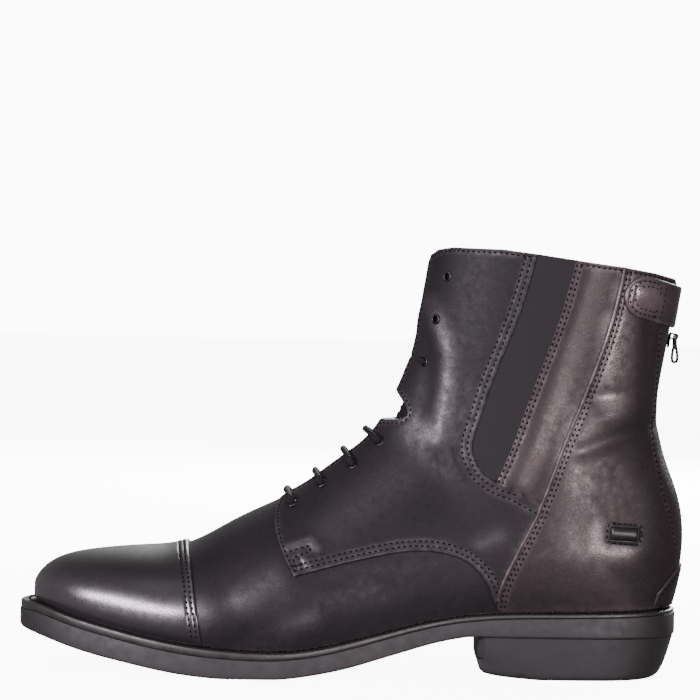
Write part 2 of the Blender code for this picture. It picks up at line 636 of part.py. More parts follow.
def panel(name, outline, side, low, high, kind):
    """A leather panel: its outline and the upper's lattice inside, triangulated and given its thickness."""
    border = flat(*np.array(outline, float).T)
    lattice = flat(*upper_lattice(side))
    lattice = lattice[inside(lattice, border)]
    lattice = lattice[clear_of(lattice, border) > 2.4]
    places = [Vector(p) for p in np.concatenate([border, lattice])]
    found = delaunay_2d_cdt(places, [], [list(range(len(border)))], 1, 1e-7)
    spots = np.array([tuple(p) for p in found[0]])
    u, angle = spots[:, 0] / SECTION_SPAN, spots[:, 1] / ANGLE_SPAN
    outer = offset_surface(u, angle, side, np.full(u.shape, high))
    inner = offset_surface(u, angle, side, np.full(u.shape, low))
    return close_sheet(name, outer, inner, [list(face) for face in found[2]], kind)


def traced(line, side):
    """Side-view points as sections and angles."""
    u, angle = locate(line[:, 0], line[:, 1], side)
    return list(zip(u, angle))


def collar_run(first, last, count, side):
    x = np.linspace(first, last, count)
    return traced(np.column_stack([x, collar_z(x) - 0.5]), side)


def throat_run(first, side):
    """The facing's edge from a section up to the collar."""
    last = float(collar_section(np.array([1.0]), side, 0.8)[0])
    rows = [u for u in UPPER_U if first < u < last]
    rows = [first] + rows + list(np.linspace(SHAFT_START, last, SHAFT_ROWS)[1:])
    rows = np.array(rows)
    return list(zip(rows, throat_angle(rows, side, 0.5)))


def make_panels(side, label):
    """Quarter, gore, side strip and back panel of one side."""
    shift = SEAM_SHARE
    vamp = smooth(VAMP_SEAM, 20)
    vamp = vamp[vamp[:, 1] > TAIL_Z]
    low_seam = smooth(BACK_SEAM_LOW, 9)
    tail = low_seam[low_seam[:, 1] > TAIL_Z + 1]
    quarter = traced(smooth(QUARTER_FRONT, 7), side)
    quarter += throat_run(7.85, side)
    quarter += collar_run(36.0, 42.0, 3, side) + collar_run(46.5, 78.8, 5, side)
    quarter += traced(shifted(smooth(GORE_FRONT, 19), shift)[1:-1][::-1], side)
    quarter += traced(shifted(smooth(STRIP_FOOT, 5), -shift - 0.2), side)
    quarter += traced(shifted(tail, shift)[:-1][::-1], side)
    quarter += traced(vamp[1:][::-1], side)
    top = OVERLAY_GAP + OVERLAY
    panel(f"quarter_{label}", quarter, side, OVERLAY_GAP, top, "leather")

    gore = traced(shifted(smooth(GORE_FRONT, 40), -shift)[1:-1:2], side)
    gore += collar_run(80.4, 96.0, 4, side)
    gore += traced(shifted(smooth(GORE_REAR, 27), shift)[1:-1:2][::-1], side)
    panel(f"gore_{label}", gore, side, OVERLAY_GAP, OVERLAY_GAP + GORE, "gore")

    strip = traced(shifted(smooth(GORE_REAR, 14), -shift)[1:-1], side)
    strip += collar_run(97.2, 117.4, 4, side)
    strip += traced(shifted(smooth(BACK_SEAM_HIGH, 14), shift)[1:-1][::-1], side)
    strip += traced(shifted(smooth(STRIP_FOOT, 4), shift)[1:][::-1], side)
    panel(f"side_strip_{label}", strip, side, OVERLAY_GAP, top, "leather")

    back = traced(shifted(low_seam, -shift)[1:-1], side)
    back += traced(shifted(smooth(BACK_SEAM_HIGH, 14), -shift)[:-1], side)
    back += collar_run(118.8, 136.0, 4, side) + collar_run(138.6, 141.8, 3, side)
    high = float(section_at_back(ZIP_TOP))
    low = float(section_at_back(ZIP_FOOT))
    rows = np.linspace(high, low, 15)
    back += list(zip(rows, back_angle(rows, ZIP_HALF + 0.4, side)))
    rows = np.linspace(low - 0.06, float(section_at_back(PANEL_FOOT)), 4)
    back += list(zip(rows, back_angle(rows, 0.35, side)))
    x = np.array([141.4, 140.2, 138.3, 136.0, 133.0, 128.5, 121.0, 112.0, 103.0, 94.0, 85.0, 76.0, 68.5])
    back += traced(np.column_stack([x, feather(x) + FOOT_RISE]), side)
    panel(f"back_panel_{label}", back, side, OVERLAY_GAP, top, "leather")


def make_zip():
    """The closed zip up the back seam: tape with a raised coil."""
    rows = np.linspace(float(section_at_back(ZIP_FOOT)), float(section_at_back(ZIP_TOP)), 11)
    halves = np.array([0.0, COIL_HALF, COIL_HALF + 0.3, ZIP_HALF])
    heights = np.array([COIL, COIL, ZIP_TAPE, ZIP_TAPE])
    outer, inner = [], []
    for side in (LEFT, RIGHT):
        u = np.repeat(rows[:, None], len(halves), axis=1)
        angle = back_angle(u, halves, side)
        seam = np.zeros(u.shape, bool)
        seam[:, 0] = True
        outer.append(offset_surface(u, angle, side, np.broadcast_to(heights, u.shape), seam))
        inner.append(offset_surface(u, angle, side, np.full(u.shape, OVERLAY_GAP), seam))
    return shell("zip", np.array(outer), np.array(inner), "zip", seam)


def back_strap(name, rows, lift, thick, columns):
    """Leather that wraps the back seam. Rows hold a depth in from the seam, a lower and an upper edge."""
    across = np.linspace(0.0, 1.0, columns)
    rows = np.array(rows)
    outer, inner = [], []
    for side in (LEFT, RIGHT):
        z = rows[:, 1:2] + across * (rows[:, 2:3] - rows[:, 1:2])
        back = section_at_back(z)
        u, angle = locate(column("base_x", back) - rows[:, :1], z, side)
        u[0], angle[0] = back[0], 0.0
        seam = np.zeros(u.shape, bool)
        seam[0] = True
        height = np.repeat(lift(rows[:, 0])[:, None], columns, axis=1)
        inner.append(offset_surface(u, angle, side, height, seam))
        outer.append(offset_surface(u, angle, side, height + thick, seam))
    return shell(name, np.array(outer), np.array(inner), "leather", seam)


def make_back_straps():
    """The tab over the top of the zip, with rounded ends, and the heel patch over its foot."""
    back_strap("collar_tab", TAB, lambda depth: np.interp(depth, *TAB_LIFT), TAB_THICK, 4)
    back_strap("heel_patch", HEEL_PATCH, lambda depth: np.full(depth.shape, HEEL_PATCH_LIFT),
               HEEL_PATCH_THICK, 4)


def make_keeper(side, label):
    """A sewn spur rest: a small plate with a rolled bar along its middle."""
    x0, x1, z0, z1 = KEEPER
    x, z = np.meshgrid(np.linspace(x0, x1, 4), np.linspace(z0, z1, 6), indexing="ij")
    u, angle = locate(x, z, side)
    low = OVERLAY_GAP * 2 + OVERLAY
    across = np.array([0.8, 1.0, 2.1, 2.1, 1.0, 0.8])
    along = np.array([0.5, 1.0, 1.0, 0.5])
    height = low + np.outer(along, across)
    outer = offset_surface(u, angle, side, height)
    inner = offset_surface(u, angle, side, np.full(u.shape, low))
    return shell(f"spur_keeper_{label}", outer[None], inner[None], "leather")


def ring_points(centre, normal, radius, height, sides):
    """Points of a circle round a normal, lifted by a height."""
    normal = normal / np.linalg.norm(normal)
    first = np.cross(normal, (0.0, 0.0, 1.0))
    first /= np.linalg.norm(first)
    second = np.cross(normal, first)
    turn = np.linspace(0.0, 2 * math.pi, sides, endpoint=False)
    circle = np.outer(np.cos(turn), first) + np.outer(np.sin(turn), second)
    return centre + normal * height + radius * circle


def closed_loops(loops):
    """Faces between loops of points, with the last joined to the first."""
    count = len(loops[0])
    faces = []
    for band in range(len(loops)):
        start, after = band * count, (band + 1) % len(loops) * count
        for k in range(count):
            faces.append([start + k - 1 if k else start + count - 1, start + k, after + k,
                          after + k - 1 if k else after + count - 1])
    return np.concatenate(loops), faces


def make_eyelets():
    """Turned metal rings on the quarter facings."""
    base = OVERLAY_GAP + OVERLAY + GAP
    for side, label in ((LEFT, "left"), (RIGHT, "right")):
        for number, (x, z, _) in enumerate(EYELETS, 1):
            u, angle = locate(x, z, side)
            centre, normal = surface(u, angle, side), normals(u, angle, side)
            loops = [ring_points(centre, normal, radius, base + height, 7) for radius, height in (
                (EYELET_OUTER, 0.0), ((EYELET_OUTER + EYELET_HOLE) / 2, EYELET_HEIGHT), (EYELET_HOLE, 0.0))]
            solid(f"eyelet_{label}_{number}", *closed_loops(loops), "metal")


def tube(name, path, radius, sides, kind):
    """A round cord along a path, closed at both ends."""
    path = np.asarray(path, float)
    run = np.gradient(path, axis=0)
    run /= np.linalg.norm(run, axis=1, keepdims=True)
    turn = np.linspace(0.0, 2 * math.pi, sides, endpoint=False)
    up = np.cross(run[0], (1.0, 0.0, 0.0))
    points, faces = [], []
    for k, (place, along) in enumerate(zip(path, run)):
        up = up - along * (up @ along)
        up /= np.linalg.norm(up)
        out = np.cross(along, up)
        points += list(place + radius * (np.outer(np.cos(turn), up) + np.outer(np.sin(turn), out)))
        if k:
            a, b = (k - 1) * sides, k * sides
            faces += [[a + j, a + (j + 1) % sides, b + (j + 1) % sides, b + j] for j in range(sides)]
    faces.append(list(range(sides)))
    faces.append(list(range(len(points) - sides, len(points)))[::-1])
    return solid(name, points, faces, kind)


def bar_path(x, z, count):
    """A lace bar from the outer eyelet over the crown to the inner one."""
    over = OVERLAY_GAP + OVERLAY + GAP + LACE
    rise = EYELET_HEIGHT + GAP * 2
    halves = []
    for side in (LEFT, RIGHT):
        u, angle = (float(value) for value in locate(x, z, side))
        share = np.linspace(0.0, 1.0, count)
        over_eyelet = np.clip(1.0 - share / 0.35, 0.0, 1.0)
        height = over + rise * over_eyelet - BAR_SAG * np.clip(share * 2 - 1, 0.0, 1.0)
        at_crown = np.zeros(count, bool)
        at_crown[-1] = True
        reach = angle + (math.pi - angle) * share
        halves.append(offset_surface(u - BAR_LEAN * share, reach, side, height, at_crown))
    return np.concatenate([halves[0], halves[1][:-1][::-1]])


def make_laces():
    """Straight lace bars between the laced eyelets."""
    number = 0
    for x, z, laced in EYELETS:
        if laced:
            number += 1
            tube(f"lace_bar_{number}", bar_path(x, z, 5), LACE, 6, "lace")


def box(name, centre, axes, sizes, kind):
    """A box on its own axes."""
    signs = [(a, b, c) for a in (-1, 1) for b in (-1, 1) for c in (-1, 1)]
    points = []
    for sign in signs:
        points.append(centre + sum(s * size / 2 * axis for s, size, axis in zip(sign, sizes, axes)))
    faces = [[0, 1, 3, 2], [4, 6, 7, 5], [0, 4, 5, 1], [2, 3, 7, 6], [0, 2, 6, 4], [1, 5, 7, 3]]
    return solid(name, points, faces, kind)


def join(thing, helpers):
    """Adds helper shapes to a piece."""
    for helper in helpers:
        union = thing.modifiers.new("join " + helper.name, "BOOLEAN")
        union.operation = "UNION"
        union.solver = "EXACT"
        union.object = helper
        helper.hide_render = True
        helper.hide_viewport = False
        helper.display_type = "WIRE"


def make_slider_and_pull():
    """Zip slider with two lugs, and the pull that hangs between them."""
    across = np.array([0.0, 1.0, 0.0])
    u = section_at_back(SLIDER_Z)
    centre = surface(u, 0.0, LEFT)
    out = normals(u, 0.0, LEFT, True)
    along = np.cross(out, across)
    low = COIL + GAP
    plate = box("zip_slider", centre + out * (low + SLIDER_THICK / 2), (along, across, out),
                (SLIDER_LENGTH, SLIDER_WIDTH, SLIDER_THICK), "metal")
    u = section_at_back(HINGE_Z)
    hinge = surface(u, 0.0, LEFT) + normals(u, 0.0, LEFT, True) * HINGE_OUT
    lugs = []
    for side in (LEFT, RIGHT):
        place = hinge - out * (HINGE_OUT - low - SLIDER_THICK) / 2
        place = place + across * side * (BARREL_LENGTH / 2 + GAP + 0.4)
        lugs.append(box(f"lug {side}", place, (along, across, out),
                        (2.2, 0.8, HINGE_OUT - low - SLIDER_THICK + 1.4), "metal"))
    join(plate, lugs)

    face = np.array([math.sin(PULL_TWIST), math.cos(PULL_TWIST), 0.0])
    thick = np.array([math.cos(PULL_TWIST), -math.sin(PULL_TWIST), 0.0])
    down = np.array([0.0, 0.0, -1.0])
    half, length, frame = PULL_HALF, PULL_LENGTH, PULL_FRAME
    outer = [(0.5 * half, 0.5), (half, 0.72 * length), (half, 0.92 * length), (0.7 * half, length)]
    inner = [(0.18 * half, 0.28 * length), (half - frame, 0.72 * length), (half - frame, 0.86 * length),
             (0.45 * half, length - frame)]
    loops = []
    for shape, side in ((outer, 0.5), (outer, -0.5), (inner, -0.5), (inner, 0.5)):
        edge = shape + [(-a, d) for a, d in shape[::-1]]
        loops.append(np.array([hinge + face * a + down * d + thick * side * PULL_THICK for a, d in edge]))
    pull = solid("zip_pull_tab", *closed_loops(loops), "metal", hinge)
    turn = np.linspace(0.0, 2 * math.pi, 12, endpoint=False)
    circle = BARREL * np.column_stack([np.cos(turn), np.zeros(12), np.sin(turn)])
    ends = [hinge + circle + across * side * BARREL_LENGTH / 2 for side in (LEFT, RIGHT)]
    faces = [[k, (k + 1) % 12, (k + 1) % 12 + 12, k + 12] for k in range(12)]
    faces += [list(range(12)), list(range(12, 24))[::-1]]
    barrel = solid("barrel", np.concatenate(ends), faces, "metal")
    join(pull, [barrel])


def main():
    for thing in list(bpy.data.objects):
        bpy.data.objects.remove(thing)
    make_sole()
    make_upper()
    make_tongue()
    make_toe_cap()
    for side, label in ((LEFT, "left"), (RIGHT, "right")):
        make_panels(side, label)
        make_keeper(side, label)
    make_zip()
    make_back_straps()
    make_eyelets()
    make_laces()
    make_slider_and_pull()


if __name__ == "__main__":
    main()
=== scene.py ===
"""Looks of the lace-up jodhpur boot (left foot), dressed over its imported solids.

All sizes are millimetres on the boot and are scaled to metres when a mesh is made. X runs from toe (-) to
heel (+), -Y is the outer side that the camera sees, Z is up. The leather is cut on the same last as the
solids: a point of the last is a section number u (toe tip to collar) and an angle round that section.
"""

import math

import bmesh
import bpy
import numpy as np
from mathutils import Matrix, Vector
from mathutils.geometry import delaunay_2d_cdt

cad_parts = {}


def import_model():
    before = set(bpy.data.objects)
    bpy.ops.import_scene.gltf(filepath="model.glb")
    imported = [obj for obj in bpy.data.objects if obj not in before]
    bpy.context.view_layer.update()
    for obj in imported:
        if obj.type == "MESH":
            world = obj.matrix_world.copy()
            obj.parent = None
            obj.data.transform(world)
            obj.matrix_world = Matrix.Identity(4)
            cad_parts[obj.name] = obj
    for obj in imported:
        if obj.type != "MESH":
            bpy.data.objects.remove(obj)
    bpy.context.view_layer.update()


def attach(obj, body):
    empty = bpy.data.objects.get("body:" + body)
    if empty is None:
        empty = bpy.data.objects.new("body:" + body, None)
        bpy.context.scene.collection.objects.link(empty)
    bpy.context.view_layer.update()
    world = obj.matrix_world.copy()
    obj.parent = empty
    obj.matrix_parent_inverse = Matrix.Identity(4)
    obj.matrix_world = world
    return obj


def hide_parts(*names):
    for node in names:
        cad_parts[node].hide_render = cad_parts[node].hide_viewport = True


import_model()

MM = 0.001
LEFT, RIGHT = -1, 1
SIDES = ((LEFT, "left"), (RIGHT, "right"))

# Layers over the last
WALL = 2.0                  # upper and lining together
LEATHER_TOP = 1.5           # outer face of quarters, strips and toe cap
GORE_TOP = 0.75
EDGE_ROLL = 0.8             # radius of a rolled leather edge
ROLL_SHARE = 0.9            # a roll takes up no more than this share of the thickness
GROOVE = 0.28               # how far a row of stitches pulls the leather in
FOLD = 2.1                  # leather folded over a rim reaches this far in
TONGUE = 1.8
TONGUE_EASE = 1.05
TONGUE_SINK = ((10.9, 11.9, 14.0, 15.4), (0.0, 3.4, 3.0, 0.0))
TONGUE_HALF = ((7.2, 9.0, 13.0, 22.0), (15.0, 20.0, 24.0, 25.0))
GAP = 0.3

# Sections of the last, from toe tip to above the collar
STATION_COLUMNS = (
    "base_x", "base_z", "crown_x", "crown_z", "axis_y",
    "foot_left", "foot_right", "belly_left", "belly_right", "base_power", "crown_power",
)
STATIONS = (
    (-141.4, 29.2, -141.3, 36.0, 6.0, 0.0, 0.0, 0.0, 0.0, 2.1, 2.2),
    (-139.4, 28.9, -139.3, 40.0, 5.9, 11.5, 11.5, 12.1, 12.1, 2.1, 2.2),
    (-133.7, 27.5, -133.6, 45.1, 5.7, 21.4, 21.2, 22.5, 22.2, 2.1, 2.2),
    (-124.0, 24.7, -124.0, 48.7, 5.2, 30.2, 29.0, 31.5, 30.2, 2.1, 2.3),
    (-110.0, 21.4, -110.0, 51.0, 4.2, 37.5, 35.5, 38.9, 36.8, 2.1, 2.3),
    (-92.0, 17.6, -92.0, 52.7, 3.0, 43.5, 41.5, 45.0, 42.9, 2.1, 2.2),
    (-70.0, 14.0, -72.0, 56.2, 1.8, 47.0, 45.1, 48.6, 46.6, 2.1, 2.05),
    (-45.0, 12.0, -50.0, 68.0, 1.0, 48.0, 44.2, 49.6, 45.8, 2.1, 1.9),
    (-18.0, 13.0, -26.0, 80.0, 0.5, 45.5, 37.5, 47.6, 40.5, 2.2, 1.8),
    (14.0, 20.2, -8.0, 93.5, 0.2, 39.2, 31.3, 42.0, 36.0, 2.3, 1.75),
    (50.0, 28.0, 2.5, 102.0, 0.0, 34.2, 29.8, 38.0, 34.6, 2.4, 1.75),
    (90.0, 30.0, 9.0, 109.6, 0.0, 33.3, 32.8, 36.2, 35.4, 2.5, 1.8),
    (122.0, 30.6, 12.8, 116.0, 0.0, 29.3, 29.3, 35.2, 34.8, 2.6, 1.9),
    (137.3, 31.0, 15.2, 120.5, 0.0, 16.5, 16.5, 34.7, 34.4, 2.6, 1.9),
    (142.0, 31.2, 17.0, 124.0, 0.0, 0.0, 0.0, 34.4, 34.2, 2.6, 1.9),
    (145.2, 44.0, 19.0, 127.4, 0.0, 0.0, 0.0, 34.2, 34.0, 2.6, 1.9),
    (147.2, 60.0, 20.9, 131.3, 0.0, 0.0, 0.0, 34.0, 34.0, 2.6, 1.9),
    (145.3, 79.0, 22.9, 136.2, 0.0, 0.0, 0.0, 33.7, 33.7, 2.5, 1.9),
    (138.6, 98.0, 25.2, 142.2, 0.0, 0.0, 0.0, 33.4, 33.4, 2.4, 1.9),
    (134.9, 116.0, 27.0, 149.3, 0.0, 0.0, 0.0, 33.4, 33.4, 2.3, 1.95),
    (135.5, 131.0, 28.4, 156.9, 0.0, 0.0, 0.0, 33.7, 33.7, 2.3, 2.0),
    (138.3, 148.0, 30.2, 167.9, 0.0, 0.0, 0.0, 34.4, 34.4, 2.3, 2.05),
    (142.5, 174.0, 33.2, 185.9, 0.0, 0.0, 0.0, 36.0, 36.0, 2.3, 2.1),
    (145.2, 192.0, 35.2, 199.9, 0.0, 0.0, 0.0, 37.0, 37.0, 2.3, 2.1),
)
HEEL_STATION = 14
HEEL_BLEND, HEEL_RISE, HEEL_TAPS = 1.6, 0.55, 3
SHAFT_START = 19.0
LAST_STATION = len(STATIONS) - 1

# Seams of the outer side as they show in side view, x then z
VAMP_SEAM = ((-24.9, 44.6), (-8.9, 49.0), (11.7, 54.0), (27.8, 56.5), (40.7, 55.7), (50.8, 52.2),
             (57.1, 47.0), (61.7, 39.5), (64.6, 31.6))
QUARTER_FRONT = ((-24.9, 44.6), (-30.4, 54.7), (-33.7, 65.4), (-33.6, 71.3), (-31.9, 75.3))
GORE_FRONT = ((79.9, 188.6), (71.8, 159.3), (61.8, 132.5), (54.8, 110.2), (53.1, 102.2), (54.6, 96.1),
              (59.1, 90.4), (63.5, 87.6))
GORE_REAR = ((63.5, 87.1), (68.6, 99.1), (73.6, 113.4), (81.9, 137.4), (90.2, 161.4), (96.6, 186.6))
STRIP_FOOT = ((63.5, 87.1), (71.9, 83.5), (81.9, 78.9), (84.0, 77.9))
BACK_SEAM = ((65.0, 31.6), (66.3, 40.0), (70.2, 49.6), (74.6, 58.7), (78.9, 66.9), (82.8, 75.2), (91.2, 98.6),
             (97.8, 115.9), (104.9, 134.5), (113.2, 160.1), (118.1, 183.6))
STRIP_CORNER = (84.0, 77.9)
CAP_SEAM = ((-74.0, 58.5), (-71.3, 50.0), (-68.7, 38.0), (-66.5, 25.3), (-64.6, 13.0))
PLACKET = ((135.0, 155.7), (134.1, 142.3), (133.5, 124.2), (132.5, 106.5), (134.8, 93.4), (138.0, 80.2),
           (141.0, 71.2), (143.3, 59.9))
COLLAR = ((29.0, 166.0), (32.2, 181.3), (34.6, 186.8), (38.0, 189.5), (43.6, 190.5), (64.5, 190.0),
          (79.9, 188.1), (96.6, 185.8), (118.1, 183.1), (132.0, 180.9), (150.0, 176.2))
THROAT = ((7.6, 0.0), (7.85, 4.6), (8.3, 6.0), (11.2, 6.6), (11.6, 6.8), (12.1, 12.0), (12.6, 15.5),
          (13.4, 16.8), (14.0, 15.0), (14.35, 11.5), (14.75, 6.4), (17.0, 6.0), (20.0, 6.6), (23.0, 7.6))
THROAT_START = THROAT[0][0]
THROAT_SOFT = (-0.06, -0.03, 0.0, 0.03, 0.06)
EYELETS = ((-26.2, 74.2, True), (-13.1, 83.2, True), (0.5, 92.0, True), (12.4, 102.7, True),
           (31.7, 139.4, False), (37.2, 158.5, False), (41.5, 177.8, False))
LACE_END_EYELET = 4         # this upper eyelet shows the end of the lace
LACE = 1.5

# Soft creases: height over the last, width, and the line they follow in side view
CREASES = {
    "ridge behind the upper eyelets": (0.9, 4.6, ((34.7, 157.8), (41.0, 142.9), (40.9, 128.7), (37.7, 103.9))),
    "hollow in front of it": (-0.5, 3.6, ((31.6, 150.5), (33.4, 138.2), (32.6, 124.9), (28.7, 111.3))),
    "pull of the lace end": (-0.45, 0.9, ((24.0, 142.3), (30.2, 139.8))),
    "fold at the gore's foot": (0.4, 1.0, ((43.5, 101.1), (44.4, 95.8), (48.5, 88.9))),
    "low ankle fold": (-1.1, 4.0, ((100.5, 101.5), (111.0, 105.6), (123.0, 109.6), (131.0, 113.5))),
    "slanting ankle fold": (-0.4, 3.6, ((115.0, 91.0), (121.0, 100.0))),
    "high ankle fold": (-0.5, 3.6, ((106.6, 125.4), (117.9, 128.1), (127.2, 129.8))),
    "swell between the folds": (0.45, 4.0, ((105.0, 115.0), (118.0, 118.5), (129.0, 122.0))),
    "swell over the heel": (0.5, 9.0, ((92.0, 92.0), (101.0, 78.0), (110.0, 66.0))),
    "swell of the vamp": (0.6, 6.0, ((-47.0, 35.5), (-40.5, 40.3), (-34.0, 44.0))),
    "hollow of the vamp": (-0.7, 5.0, ((-45.0, 17.0), (-34.0, 26.0), (-24.0, 35.0))),
    "low swell of the vamp": (0.5, 5.0, ((-26.0, 22.0), (-20.0, 25.0))),
    "fold under the quarter": (-0.6, 3.2, ((-12.0, 43.0), (3.0, 44.3), (15.0, 40.5))),
    "swell of the side strip": (0.9, 5.5, ((72.0, 88.0), (82.5, 114.0), (95.0, 150.0), (106.0, 186.0))),
    "hollow beside the zip": (-0.7, 3.2, ((130.0, 161.0), (128.5, 141.0), (129.5, 122.0))),
    "tuck over the welt": (-1.2, 9.0, ((-60.0, 12.6), (-45.0, 12.0), (-18.0, 13.0), (14.0, 20.2), (50.0, 28.0),
                                       (90.0, 30.0), (128.0, 31.0))),
    "swell over the tuck": (0.8, 9.0, ((74.0, 55.0), (95.0, 56.0), (112.0, 53.0), (127.0, 56.0))),
    "swell round the spur keeper": (0.35, 4.2, ((109.0, 74.0), (107.0, 66.0), (108.5, 57.5), (118.0, 56.0),
                                               (129.0, 58.0))),
    "swell under the strip": (0.4, 4.0, ((56.0, 60.0), (65.0, 64.0))),
    "pucker over the box of stitches": (0.45, 1.6, ((-28.5, 57.0), (-18.0, 60.5), (-14.8, 57.0))),
    "pucker beside the box of stitches": (0.4, 1.4, ((-21.0, 52.5), (-18.5, 49.5))),
}

# Places rubbed smoother and shinier, their colour lightened as a painted highlight: strength, width, and the line they
# follow in side view
SHINE_AND_PAINTED_HIGHLIGHT = {
    "toe cap": (1.25, 8.0, ((-134.0, 34.0), (-118.0, 31.5), (-100.0, 30.0), (-84.0, 28.5), (-70.0, 27.0))),
    "ridge behind the upper eyelets": (0.5, 3.8, ((33.5, 166.0), (38.0, 152.0), (41.0, 142.9), (40.9, 128.7),
                                                  (38.5, 110.0))),
    "fan under the ridge": (0.6, 5.0, ((28.0, 110.0), (38.0, 108.0))),
    "middle of the side strip": (0.48, 5.0, ((76.0, 90.0), (86.0, 114.0), (98.5, 150.0), (109.0, 182.0))),
    "back panel under the tab": (1.5, 7.5, ((116.0, 157.0), (117.5, 142.0), (116.5, 126.0))),
    "over the ankle": (0.52, 9.0, ((100.0, 114.0), (97.0, 96.0), (97.0, 80.0), (101.0, 64.0))),
    "vamp": (0.8, 5.5, ((-47.0, 35.5), (-40.5, 40.3), (-34.0, 44.0))),
    "low swell of the vamp": (0.4, 4.5, ((-27.0, 21.0), (-18.0, 25.0))),
    "bend of the quarter": (0.3, 9.0, ((-8.0, 66.0), (20.0, 88.0))),
    "under the strip": (0.36, 4.0, ((57.0, 61.0), (64.0, 64.0))),
    "over the box of stitches": (1.0, 1.8, ((-28.5, 57.0), (-18.0, 60.5), (-14.8, 57.0))),
    "beside the box of stitches": (1.0, 1.6, ((-21.0, 52.5), (-18.5, 49.5))),
    "round the spur keeper": (1.0, 4.0, ((107.0, 68.0), (107.0, 60.0), (112.0, 56.0), (122.0, 56.0))),
    "collar tab": (1.6, 7.0, ((121.0, 171.0), (129.0, 170.0))),
}

# The sole seen from the side
SOLE_BOTTOM = ((-152.0, 18.2), (-138.0, 14.9), (-125.0, 11.3), (-112.0, 8.2), (-98.5, 5.6), (-85.0, 3.1),
               (-72.0, 1.2), (-62.0, 0.3), (-54.0, -0.1), (-44.0, -0.2), (-34.0, -0.1), (-26.0, 0.5),
               (-13.0, 2.4), (0.6, 5.3), (13.7, 9.1), (26.8, 13.0), (38.0, 16.2), (48.0, 18.3))
SEAT = 19.0
SEAT_X = 57.0
WELT_THICK = ((-152.0, 4.0), (-70.0, 3.8), (-20.0, 3.2), (40.0, 2.5), (100.0, 2.1), (152.0, 2.1))
WELT_MARGIN = ((-152.0, 7.6), (-130.0, 7.0), (-100.0, 6.0), (-45.0, 5.6), (0.0, 4.6), (40.0, 3.7),
               (120.0, 3.6), (142.0, 4.2))
WELT_INSIDE = 5.0
INSOLE, INSOLE_EASE = 2.4, 1.2
HEEL_SIDE_TAPER, HEEL_REAR_TAPER = 2.2, 5.6
HEEL_BOTTOM = ((57.0, 5.4), (59.5, 3.0), (64.0, 1.9), (72.0, 0.9), (84.0, 0.0), (152.0, 0.0))

# Back zip, slider, pull, tab, heel patch and spur keepers
ZIP_FOOT, ZIP_TOP = 50.0, 176.0
ZIP_HALF = 5.6
SLIDER_Z, HINGE_Z, HINGE_OUT = 151.4, 153.4, 4.9
PULL_LENGTH, PULL_HALF, PULL_FRAME = 12.0, 2.9, 1.1
PULL_TWIST = math.radians(34)
TAB_REACH, TAB_HALF = 24.2, 9.3
TAB_MIDDLE = ((0.0, 13.0, 24.2), (166.3, 170.1, 171.9))
TAB_THICK = 1.5
TAB_LIFT = ((0.0, 2.0, 8.0), (2.5, 2.5, 2.0))
HEEL_PATCH = ((0.0, 33.0, 51.6), (0.45, 33.0, 51.4), (1.7, 33.0, 50.0), (3.6, 33.0, 47.2), (5.6, 33.0, 43.8),
              (7.4, 33.0, 39.6), (8.5, 33.0, 35.6))
KEEPER = (111.4, 128.8, 60.2, 71.0)

# Panels are laid flat seen from a direction that leans to the front or the back
FRONT_LEAN, BACK_LEAN = math.radians(-35), math.radians(45)

# How far a panel reaches under the next one, and the heights of the panels' faces over the last
GORE_UNDER, STRIP_UNDER, ZIP_UNDER = 1.8, 1.6, 1.4
STRIP_TOP, BACK_TOP, BEAD_MIDDLE = LEATHER_TOP - 0.15, LEATHER_TOP + 0.25, LEATHER_TOP - 0.05
UNDERSIDE, GORE_UNDERSIDE = 0.1, 0.05
RIM_OVER = 0.35             # panels stand this far past the upper's collar and throat
HEM_OVER = 0.4              # and this far over the feather edge
BEAD = 0.85
EYELET_HOLE = 1.55

# Where each panel starts and ends: along the collar by x, on its seams by height, and at the throat by section
QUARTER_COLLAR, GORE_COLLAR, STRIP_COLLAR, BACK_COLLAR = (34.9, 79.2), (78.0, 98.5), (97.0, 118.2), (118.6, 141.4)
VAMP_LOW, TAIL_LOW, HEEL_EDGE_LOW = 32.5, 33.5, 32.0
FACING_START = 7.85
HEEL_TURN, HEM_SPAN = (142.0, 141.2, 140.0, 138.3, 136.0), (133.0, 66.5, 60)
RIB_DIRECTION = (0.972, -0.236)

# Stitches, the groove that they pull, and how they look ahead along their row
STITCH, STITCH_PITCH, THREAD = 1.35, 2.6, 0.38
STITCH_RINGS = ((-0.5, 0.35, -0.5), (-0.36, 0.85, -0.05), (0.0, 1.0, 0.1), (0.36, 0.85, -0.05), (0.5, 0.35, -0.5))
STITCH_SIDES = 6
STITCH_SINK = GROOVE - 0.4 * THREAD
GROOVE_WIDTH = 0.62
LOOK_AHEAD, LEAST_AHEAD = 0.5, 0.1

# Stitch rows of each piece: edge number and distance in from that edge, or distances alone
QUARTER_ROWS = ((0, 1.5), (1, 2.0), (2, 1.6), (3, 2.25), (3, 4.8), (5, 2.3), (5, 4.4))
STRIP_ROWS = ((0, 0.9), (0, 2.8), (1, 1.6))
BACK_ROWS = ((0, 1.6), (0, 3.3), (1, 1.6))
CAP_ROWS, TAB_ROWS, TAB_CROSS_ROWS, PATCH_ROW = (1.7, 4.0), (2.0, 4.2), (7.4, 9.6), 1.5
# Box of close stitches at the quarter's lower front corner
BAR_TACK = (((-27.6, 54.6), (-18.2, 57.6), (-17.6, 55.2), (-26.0, 52.2)), ((-25.6, 52.0), (-22.9, 47.6)),
            ((-23.2, 53.0), (-20.8, 48.6)))
CLOSE_STEP = 0.6

